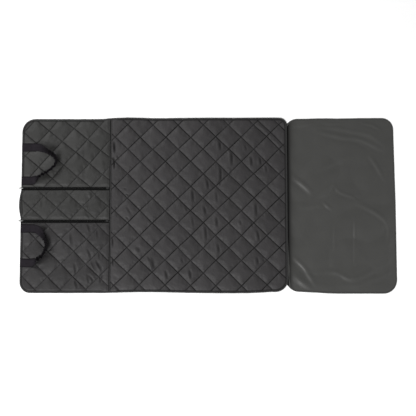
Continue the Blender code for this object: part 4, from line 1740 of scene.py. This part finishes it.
@dataclass
class StrapLoop:
    """A headrest strap: two hook-and-loop bands sewn on at one end, laid over each other at the far bend."""

    row: str
    start_x: float
    ends_y: Point
    reach: float
    bend: tuple[Point, ...]
    patch_z: float = 0.00655
    top_z: float = 0.0083
    width: float = 0.050
    thickness: float = 0.0015
    clearance: float = 0.0003
    patch_length: float = 0.060
    patch_relief: float = 0.024
    twist_lengths: Point = (0.110, 0.045)
    stand_angle: float = math.radians(61.0)
    stand_height: float = 0.0014
    overlap: Point = (0.44, 0.60)
    sway: Point = (0.07, 0.0006)
    sway_span: float = 0.6
    sway_slant: float = 0.3
    crumple: Ripple = Ripple(0.045, 0.0022, 7)
    # Painted shade along the selvedges and on the standing part, with a strip along the inner selvedge left
    # light as a painted highlight.
    selvedge: float = 0.004
    selvedge_shade: float = 0.6
    selvedge_start: float = 0.8
    stand_shade: float = 0.80
    lit_width: float = 0.013
    curve_steps: int = 12
    fine_step: float = 1e-3
    steps: int = 200
    round_steps: int = 5
    face_steps: int = 7
    box_inset: float = 0.003

    def lower_edge(self) -> np.ndarray:
        """Return the plan of the loop's lower edge, from the first sewn end round to the second."""
        first, second = self.ends_y[0] - self.width / 2, self.ends_y[1] + self.width / 2
        patch = [self.start_x + self.patch_length * share for share in (0.0, 0.5, 1.0)]
        plan = [(x, first) for x in patch]
        plan += [(self.start_x + x * self.reach, second + y * (first - second)) for x, y in self.bend]
        plan += [(x, second) for x in reversed(patch)]
        line = resampled(smooth_line(np.array(plan), self.curve_steps), self.fine_step)
        return resampled(line, run_along(line)[-1] / self.steps)

    def profile(self) -> np.ndarray:
        """Return the band's section, flat with rounded selvedges."""
        half, wall = self.width / 2, self.thickness / 2
        angles = np.linspace(-math.pi / 2, math.pi / 2, self.round_steps)
        round_end = np.stack((np.cos(angles), np.sin(angles)), axis=1)
        right = round_end * wall + (half - wall, 0.0)
        left = round_end * (-wall, -wall) - (half - wall, 0.0)
        spread = np.linspace(-1.0, 1.0, self.face_steps + 2)[1:-1] * (half - 2 * wall)
        bottom = np.stack((spread, np.full(self.face_steps, -wall)), axis=1)
        return np.concatenate((right, bottom[::-1] * (1, -1), left, bottom))

    def band(self, label: str, span: Point, offset: float) -> None:
        """Make one band over a span of the loop.

        Args:
            label: Which band, as in its node's name.
            span: The shares of the loop between which it lies.
            offset: How far it is set off outwards from the loop's own surface.
        """
        line = self.lower_edge()
        run = run_along(line)
        share = run / run[-1]
        keep = (share >= span[0]) & (share <= span[1])
        tangent, outward = (part[keep] for part in frames_along(line))
        line, run, rest, share = line[keep], run[keep], run[-1] - run[keep], share[keep]
        turns = [(way - self.patch_length) / turn for way, turn in zip((run, rest), self.twist_lengths)]
        stand = ease(np.minimum(*turns))
        lift = ease((np.minimum(run, rest) - self.patch_length) / self.patch_relief)
        angle = self.stand_angle * stand
        across = outward * np.cos(angle)[:, None] + UP * np.sin(angle)[:, None]
        normal = np.cross(np.column_stack((tangent, np.zeros(len(line)))), across)
        height = self.patch_z + (self.top_z + self.stand_height - self.patch_z) * lift
        path = np.column_stack((line, height)) + across * self.width / 2
        spots = np.column_stack((share, share * self.sway_slant)) * self.sway_span
        sway = Ripple(*self.sway, len(label)).at(spots)
        path += normal * ((sway - offset) * stand)[:, None]
        crumple = self.crumple.at(np.column_stack((share, share))) * stand
        path += outward * crumple[:, None]
        bm = swept(path, across, normal, self.profile())
        self.shade(bm, stand)
        node = f"headrest_strap_{self.row}_{label}"
        add_piece(f"headrest_band_{self.row}_{label}", bm, BAND_CLOTH, replaces=[node], lie=MAT_LIE)

    def shade(self, bm: bmesh.types.BMesh, stand: np.ndarray) -> None:
        """Store the band's painted shade: along its selvedges, and where it stands on edge, with a painted
        highlight strip along the inner selvedge there.

        Args:
            bm: The band's mesh.
            stand: How far it stands at each step of its path, 0 to 1.
        """
        tape = bm.loops.layers.uv["tape"]
        run, around = np.array([vert.link_loops[0][tape].uv for vert in bm.verts]).T
        standing = np.interp(run, np.linspace(0.0, run.max(), len(stand)), stand)
        face = around.max() / 2
        turned = (around - self.thickness * self.selvedge_start) % face
        selvedge = np.exp(-((np.minimum(turned, face - turned) / self.selvedge) ** 2))
        # Painted highlight: the standing part's inner selvedge is left unshaded.
        lit = np.where(around < face, np.exp(-(((face - turned) / self.lit_width) ** 2)), 0.0)
        lying = self.selvedge_shade * selvedge * (1 - standing)
        store_shade(bm, np.maximum(lying, self.stand_shade * standing * (1 - lit)))

    def patch_sewing(self) -> None:
        """Sew both bands' ends on with a box and a cross."""
        sewing = Sewing(f"headrest_band_{self.row}_thread", length=0.0026, gap=0.0008, thickness=0.0005)
        height, half = self.patch_z + self.thickness / 2, self.width / 2 - self.box_inset
        left, right = self.start_x + self.box_inset, self.start_x + self.patch_length - 2 * self.box_inset
        for y in self.ends_y:
            corners = [(left, y - half), (right, y - half), (right, y + half), (left, y + half)]
            for first, second in ((0, 1), (1, 2), (2, 3), (3, 0), (0, 2), (1, 3)):
                sewing.row(np.array([(*corners[first], height), (*corners[second], height)]))
        sewing.finish(MAT_LIE, Slot.BAND)

    def build(self) -> None:
        """Make both bands and sew them on."""
        self.band("loop", (0.0, self.overlap[1]), 0.0)
        self.band("hook", (self.overlap[0], 1.0), self.thickness + self.clearance)
        self.patch_sewing()


@dataclass
class Studio:
    """A pale floor, soft light and the camera."""

    target: tuple[float, float, float] = (0.0546, -0.0205, 0.0)
    elevation: float = math.radians(86.0)
    distance: float = 4.0
    lens: float = 57.69
    sensor: float = 36.0
    clip_range: Point = (0.1, 100.0)
    floor_half: float = 12.0
    floor_gap: float = 0.0004
    daylight: float = 0.45

    def camera(self) -> None:
        """Set the camera at the photo's angle."""
        data = bpy.data.cameras.new("camera")
        data.lens, data.sensor_width = self.lens, self.sensor
        data.clip_start, data.clip_end = self.clip_range
        camera = in_scene("camera", data)
        back = Vector((0.0, -math.cos(self.elevation), math.sin(self.elevation)))
        camera.location = Vector(self.target) + back * self.distance
        camera.rotation_euler = (math.pi / 2 - self.elevation, 0.0, 0.0)
        bpy.context.scene.camera = camera

    def lamp(self, name: str, place: Sequence[float], size: float, power: float) -> None:
        """Add a soft square light that points at the liner.

        Args:
            name: The light's name.
            place: Where it hangs.
            size: The length of its sides.
            power: Its power in watts.
        """
        data = bpy.data.lights.new(name, "AREA")
        data.size, data.energy = size, power
        lamp = in_scene(name, data)
        lamp.location = place
        lamp.rotation_euler = (Vector(self.target) - Vector(place)).to_track_quat("-Z", "Y").to_euler()

    def floor(self) -> None:
        """Lay the pale floor just under the liner."""
        bm = bmesh.new()
        bmesh.ops.create_grid(bm, x_segments=1, y_segments=1, size=self.floor_half)
        bmesh.ops.translate(bm, vec=(0.0, 0.0, -self.floor_gap), verts=bm.verts)
        floor = in_scene("studio_floor", mesh_from("studio_floor", bm))
        graph = Graph("studio_floor", Source.PLACE)
        graph.set(
            Base_Color=graph.tint(graph.noise(0.8), (0.90, 0.90, 0.90), (0.92, 0.92, 0.92)),
            Roughness=0.8,
            Specular_IOR_Level=0.1,
        )
        floor.data.materials.append(graph.material)

    def build(self) -> None:
        """Set up the whole studio."""
        self.camera()
        self.floor()
        self.lamp("key", place=(-2.4, -3.8, 4.6), size=2.0, power=355.0)
        self.lamp("left_fill", place=(-2.8, 2.6, 3.0), size=2.2, power=122.0)
        self.lamp("right_fill", place=(3.4, -0.8, 1.8), size=2.0, power=16.0)
        world = bpy.data.worlds.new("studio")
        world.use_nodes = True
        sky = world.node_tree.nodes["Background"].inputs
        sky["Color"].default_value = (1.0, 1.0, 1.0, 1.0)
        sky["Strength"].default_value = self.daylight
        scene = bpy.context.scene
        scene.world = world
        scene.view_settings.view_transform = "Standard"


@dataclass
class Liner:
    """The whole liner, assembled from its plan."""

    plan: Plan
    back_upper_radius: float = 0.078
    back_lower_radius: float = 0.060
    floor_upper_radius: float = 0.043
    floor_lower_radius: float = 0.077
    flap_start_radius: float = 0.085
    flap_upper_radius: float = 0.068
    flap_lower_radius: float = 0.080
    flap_draw_radius: float = 0.900
    flap_draw: Point = (0.290, 0.012)
    seam_gap: float = 0.0002
    tape_edge: float = 0.0163
    bow_steps: int = 24
    overhang: float = 0.0050
    strap_start: float = 0.0006
    strap_room: float = 0.027
    strap_room_ends: Point = (-0.01, 0.075)
    binding_gap: float = 0.0003

    def floor_line(self, inset: float) -> np.ndarray:
        """Return the floor panel's outline."""
        left, right = self.plan.seam + self.seam_gap, self.plan.floor_end - inset
        side = self.plan.half_width - inset
        return outline(
            [
                Corner(left, -side),
                Corner(right, -side, self.floor_lower_radius - inset),
                Corner(right, side, self.floor_upper_radius - inset),
                Corner(left, side),
            ]
        )

    def back_line(self, side: int, inset: float) -> np.ndarray:
        """Return an outer back-rest section's outline.

        Args:
            side: 1 for the upper section, -1 for the lower one.
            inset: How far it stays inside the drawn edge.

        Returns:
            The outline's points.
        """
        left, right = self.plan.back_end + inset, self.plan.seam - self.seam_gap
        inner = self.plan.zip_y + self.plan.zip_band / 2 - (self.overhang if side > 0 else 0.0)
        outer = self.plan.half_width - inset
        radius = (self.back_upper_radius if side > 0 else self.back_lower_radius) - inset
        corners = [
            Corner(left, side * inner),
            Corner(right, side * inner),
            Corner(right, side * outer),
            Corner(left, side * outer, radius),
        ]
        return outline(corners if side > 0 else corners[::-1])

    def bow(self, far: float, near: float, inset: float) -> np.ndarray:
        """Return the middle section's bowed free edge.

        Args:
            far: How far it reaches to the side of high Y, where it starts.
            near: How far it reaches to the side of low Y.
            inset: How far inside the drawn edge it stays.

        Returns:
            The edge's points.
        """
        y = np.linspace(far, -near, self.bow_steps + 1)
        middle_half = self.plan.zip_y - self.plan.zip_band / 2
        bulge = np.cos(math.pi * np.clip(y / (2 * middle_half), -0.5, 0.5))
        return np.stack((self.plan.back_end + inset - self.plan.middle_bulge * bulge, y), axis=1)

    def middle_line(self, inset: float) -> np.ndarray:
        """Return the middle back-rest section's outline."""
        far, right = self.plan.zip_y - self.plan.zip_band / 2, self.plan.seam - self.seam_gap
        near = far + self.overhang
        return np.concatenate((((right, -near), (right, far)), self.bow(far, near, inset)))

    def flap_line(self, inset: float) -> np.ndarray:
        """Return the flap's outline."""
        left, right, low, high = self.plan.flap
        left, right, low, high = left + inset, right - inset, low + inset, high - inset
        length, draw = self.flap_draw
        return outline(
            [
                Corner(left, low + draw, self.flap_start_radius - inset),
                Corner(left + length, low, self.flap_draw_radius),
                Corner(right, low, self.flap_lower_radius - inset),
                Corner(right, high, self.flap_upper_radius - inset),
                Corner(left, high, self.flap_start_radius - inset),
            ]
        )

    def mat_edge(self) -> np.ndarray:
        """Return the path of the binding round the floor and the outer back-rest sections."""
        left, right, side = self.plan.back_end, self.plan.floor_end, self.plan.half_width
        inner = self.plan.zip_y + self.tape_edge
        return outline(
            [
                Corner(left, -inner),
                Corner(left, -side, self.back_lower_radius),
                Corner(right, -side, self.floor_lower_radius),
                Corner(right, side, self.floor_upper_radius),
                Corner(left, side, self.back_upper_radius),
                Corner(left, inner),
            ]
        )

    def flap_edge(self) -> np.ndarray:
        """Return the path of the flap's binding, whose ends meet under the floor panel."""
        left, gap = self.plan.flap[0], self.binding_gap
        return np.concatenate((((left, -gap),), self.flap_line(0.0), ((left, gap),)))

    def patches(self, ends: Point) -> tuple[tuple[Point, Point], ...]:
        """Return the plan rectangles on which a strap's two sewn ends lie.

        Args:
            ends: Where the two ends are across the liner.

        Returns:
            The low and high corner of each rectangle.
        """
        left, right = (self.plan.back_end + end for end in self.strap_room_ends)
        return tuple(((left, y - self.strap_room), (right, y + self.strap_room)) for y in ends)

    def panels(self) -> list[QuiltedPanel]:
        """Return the four quilted panels, each with its own pattern, folds and unbound sides."""
        inset = self.plan.edge_inset
        fold, far_zip, near_zip = (0, self.plan.seam), (1, self.plan.zip_y), (1, -self.plan.zip_y)
        return [
            QuiltedPanel(
                name="quilted_floor",
                node="floor_panel",
                line=self.floor_line(inset),
                crossing=(-0.049, 0.408),
                seed=3,
                folds=FLOOR_FOLDS,
                cloth=FLOOR_CLOTH,
                doubled=((0.351, 0.507), (0.519, 0.354)),
                unbound=(fold,),
            ),
            QuiltedPanel(
                name="quilted_back_upper",
                node="back_panel_upper",
                line=self.back_line(1, inset),
                crossing=(-0.824, 0.386),
                seed=4,
                folds=UPPER_FOLDS,
                turn=math.radians(4.5),
                pressed=self.patches(UPPER_STRAP_Y),
                unbound=(fold, far_zip),
                line_shades=(0.90, 0.75),
            ),
            QuiltedPanel(
                name="quilted_back_middle",
                node="back_panel_middle",
                line=self.middle_line(inset),
                crossing=(-0.851, -0.019),
                seed=5,
                folds=MIDDLE_FOLDS,
                turn=math.radians(2.0),
                unbound=(fold, far_zip, near_zip),
                line_shades=(0.80, 0.65),
                cell_shade=0.24,
            ),
            QuiltedPanel(
                name="quilted_back_lower",
                node="back_panel_lower",
                line=self.back_line(-1, inset),
                crossing=(-0.824, -0.206),
                seed=6,
                folds=LOWER_FOLDS,
                cloth=LOWER_CLOTH,
                pressed=self.patches(LOWER_STRAP_Y),
                unbound=(fold, near_zip),
                line_shades=(1.0, 0.60),
                cell_shade=0.26,
            ),
        ]

    def bindings(self) -> list[EdgeBinding]:
        """Return the three edge bindings."""
        middle_half = self.plan.zip_y - self.tape_edge
        bow = self.bow(middle_half, middle_half, 0.0)
        return [
            EdgeBinding("mat_edge_binding", "body_binding", self.mat_edge(), MAT_LIE, BINDING_CLOTH),
            EdgeBinding("middle_edge_binding", "middle_binding", bow, NO_LIE, BINDING_CLOTH),
            EdgeBinding("flap_edge_binding", "flap_binding", self.flap_edge(), FLAP_LIE, FLAP_BINDING_CLOTH),
        ]

    def build(self) -> None:
        """Make every piece in order."""
        start = self.plan.back_end + self.strap_start
        pieces = [
            *self.panels(),
            BumperFlap(self.plan, self.flap_line(self.plan.edge_inset), FLAP_FOLDS),
            *self.bindings(),
            FoldSeam(self.plan),
            *(Zip(row, self.plan) for row in ("upper", "lower")),
            StrapLoop("upper", start, UPPER_STRAP_Y, UPPER_STRAP_REACH, UPPER_BEND),
            StrapLoop("lower", start, LOWER_STRAP_Y, LOWER_STRAP_REACH, LOWER_BEND),
        ]
        for piece in pieces:
            piece.build()


def small_folds(
    marks: Iterable[tuple[Point, Point]], height: float, width: float, shade: float
) -> tuple[Fold, ...]:
    """Return a short fold for each pair of ends."""
    return tuple(Fold(mark, height, width, shade=shade) for mark in marks)


FLOOR_FOLDS = small_folds(
    (
        ((0.126, 0.387), (0.132, 0.321)),
        ((0.194, 0.325), (0.199, 0.232)),
        ((0.131, 0.243), (0.134, 0.119)),
        ((0.314, 0.294), (0.321, 0.232)),
        ((0.370, 0.294), (0.375, 0.236)),
        ((-0.039, 0.088), (-0.031, 0.011)),
        ((0.051, 0.154), (0.060, 0.088)),
        ((0.032, -0.008), (0.043, -0.062)),
        ((0.341, 0.007), (0.347, -0.073)),
        ((0.105, -0.073), (0.112, -0.135)),
        ((0.039, -0.131), (0.048, -0.215)),
        ((0.350, -0.150), (0.361, -0.223)),
        ((0.116, -0.230), (0.123, -0.291)),
        ((0.347, -0.307), (0.356, -0.360)),
        ((-0.056, -0.383), (-0.048, -0.443)),
        ((-0.197, -0.390), (-0.186, -0.447)),
    ),
    -0.0052,
    0.0075,
    0.62,
) + small_folds(
    (
        ((0.277, 0.364), (0.287, 0.321)),
        ((0.404, 0.243), (0.409, 0.193)),
        ((-0.080, -0.008), (-0.064, -0.039)),
        ((0.107, 0.077), (0.112, 0.011)),
        ((0.123, 0.150), (0.128, 0.112)),
        ((-0.039, -0.073), (-0.030, -0.135)),
        ((0.246, -0.092), (0.254, -0.123)),
        ((0.315, -0.100), (0.323, -0.138)),
        ((0.383, -0.322), (0.394, -0.348)),
        ((-0.102, -0.314), (-0.093, -0.352)),
        ((-0.433, -0.012), (-0.406, -0.058)),
        ((-0.440, -0.073), (-0.421, -0.089)),
        ((-0.457, 0.100), (-0.430, 0.088)),
        ((-0.441, 0.065), (-0.414, 0.050)),
        ((-0.493, 0.298), (-0.477, 0.259)),
        ((-0.308, -0.303), (-0.285, -0.341)),
    ),
    -0.0032,
    0.006,
    0.42,
) + (
    Fold(((-0.281, -0.305), (-0.262, -0.405)), -0.0046, 0.012, shade=0.62),
    Fold(((-0.366, -0.249), (-0.350, -0.287)), -0.0040, 0.012, shade=0.50),
    Fold(((-0.515, 0.387), (-0.508, 0.305)), -0.0045, 0.008, 0.3, 1.0),
    Fold(((-0.515, 0.290), (-0.508, 0.206)), -0.0045, 0.007, 0.3, 1.0),
    Fold(((-0.517, -0.186), (-0.515, -0.261)), -0.0032, 0.005, 0.3, 0.9),
    Fold(((-0.515, -0.310), (-0.512, -0.370)), -0.0032, 0.005, 0.3, 0.9),
)
UPPER_FOLDS = (
    Fold(((-0.695, 0.362), (-0.702, 0.268)), -0.0020, 0.012, 0.3),
    Fold(((-0.702, 0.253), (-0.693, 0.144)), -0.0020, 0.012, 0.3),
    Fold(((-0.574, 0.272), (-0.562, 0.229)), -0.0014, 0.008),
)
MIDDLE_FOLDS = small_folds(
    (
        ((-0.943, 0.036), (-0.937, -0.022)),
        ((-0.668, 0.013), (-0.660, -0.033)),
        ((-0.649, 0.082), (-0.634, 0.036)),
        ((-0.675, -0.056), (-0.648, -0.079)),
    ),
    -0.0028,
    0.008,
    0.30,
)
LOWER_FOLDS = small_folds(
    (
        ((-0.765, -0.164), (-0.760, -0.251)),
        ((-0.665, -0.259), (-0.637, -0.320)),
        ((-0.614, -0.324), (-0.587, -0.381)),
        ((-0.738, -0.347), (-0.728, -0.411)),
        ((-0.655, -0.411), (-0.624, -0.457)),
        ((-0.603, -0.339), (-0.575, -0.396)),
        ((-0.666, -0.110), (-0.647, -0.164)),
        ((-0.609, -0.141), (-0.600, -0.202)),
        ((-0.735, -0.445), (-0.719, -0.498)),
        ((-0.600, -0.270), (-0.588, -0.330)),
        ((-0.572, -0.408), (-0.590, -0.470)),
        ((-0.640, -0.332), (-0.612, -0.396)),
        ((-0.660, -0.410), (-0.652, -0.466)),
    ),
    -0.0042,
    0.0070,
    0.45,
)
FLAP_FOLDS = (
    Fold(
        ((0.642, 0.464), (0.793, 0.471), (0.926, 0.446), (1.046, 0.416), (1.147, 0.330)),
        0.0022,
        0.013,
        0.5,
    ),
    Fold(((0.569, 0.471), (0.642, 0.489), (0.697, 0.501)), 0.0030, 0.010, 0.4),
    Fold(((0.740, 0.500), (0.800, 0.492), (0.880, 0.496)), 0.0022, 0.009, 0.4),
    Fold(((0.980, 0.496), (1.050, 0.482), (1.110, 0.450)), 0.0026, 0.009, 0.5),
    Fold(((0.696, 0.452), (0.859, 0.412), (0.964, 0.397), (1.139, 0.319)), 0.0036, 0.014, 0.5),
    Fold(((0.608, 0.160), (0.693, 0.204), (0.838, 0.265), (0.932, 0.296)), 0.0036, 0.020, 0.4),
    Fold(((0.558, 0.172), (0.615, 0.130), (0.685, 0.066)), 0.0043, 0.015, 0.6),
    Fold(((0.715, 0.043), (0.792, 0.074), (0.815, 0.127)), 0.0026, 0.010, 0.5),
    Fold(((0.815, 0.127), (0.838, 0.082), (0.900, 0.055), (0.958, 0.043)), 0.0024, 0.010, 0.5),
    Fold(((0.745, 0.018), (0.772, -0.012), (0.800, -0.030)), 0.0024, 0.009, 0.5),
    Fold(((0.920, 0.060), (0.945, 0.042), (0.968, 0.030)), -0.0020, 0.006, 0.5),
    Fold(((0.600, -0.020), (0.660, -0.012), (0.760, 0.006)), 0.0020, 0.014, 0.4),
    Fold(((0.920, 0.020), (1.033, -0.032), (1.130, -0.116), (1.136, -0.253)), 0.0034, 0.014, 0.5),
    Fold(((0.934, -0.071), (0.929, -0.366)), 0.0022, 0.007, 0.5),
    Fold(((0.812, -0.116), (0.810, -0.284)), 0.0014, 0.008, 0.5),
    Fold(((0.556, -0.305), (0.630, -0.382), (0.701, -0.493)), 0.0040, 0.014, 0.6),
    Fold(((0.568, -0.416), (0.618, -0.466), (0.680, -0.505)), 0.0046, 0.017, 0.4),
    Fold(((0.672, -0.411), (0.808, -0.403), (0.935, -0.441), (1.149, -0.328)), 0.0030, 0.014, 0.5),
    Fold(((0.960, -0.470), (1.060, -0.440), (1.150, -0.400)), 0.0026, 0.014, 0.5),
    Fold(((1.024, 0.304), (1.073, 0.233), (1.119, 0.142)), 0.0030, 0.012, 0.5),
)
UPPER_STRAP_Y = (0.348, 0.143)
LOWER_STRAP_Y = (-0.143, -0.348)
UPPER_STRAP_REACH = 0.199
LOWER_STRAP_REACH = 0.147
UPPER_BEND = (
    (0.60, 0.98),
    (0.82, 0.88),
    (0.97, 0.73),
    (1.00, 0.57),
    (0.91, 0.40),
    (0.76, 0.25),
    (0.61, 0.14),
    (0.46, 0.05),
)
LOWER_BEND = (
    (0.63, 0.97),
    (0.82, 0.83),
    (0.96, 0.65),
    (1.00, 0.49),
    (0.94, 0.30),
    (0.79, 0.12),
    (0.60, 0.03),
)


def main() -> None:
    """Build the liner and its studio."""
    logging.basicConfig(level=logging.INFO, format="%(name)s: %(message)s")
    Studio().build()
    Liner(Plan.read()).build()


if __name__ == "__main__":
    main()
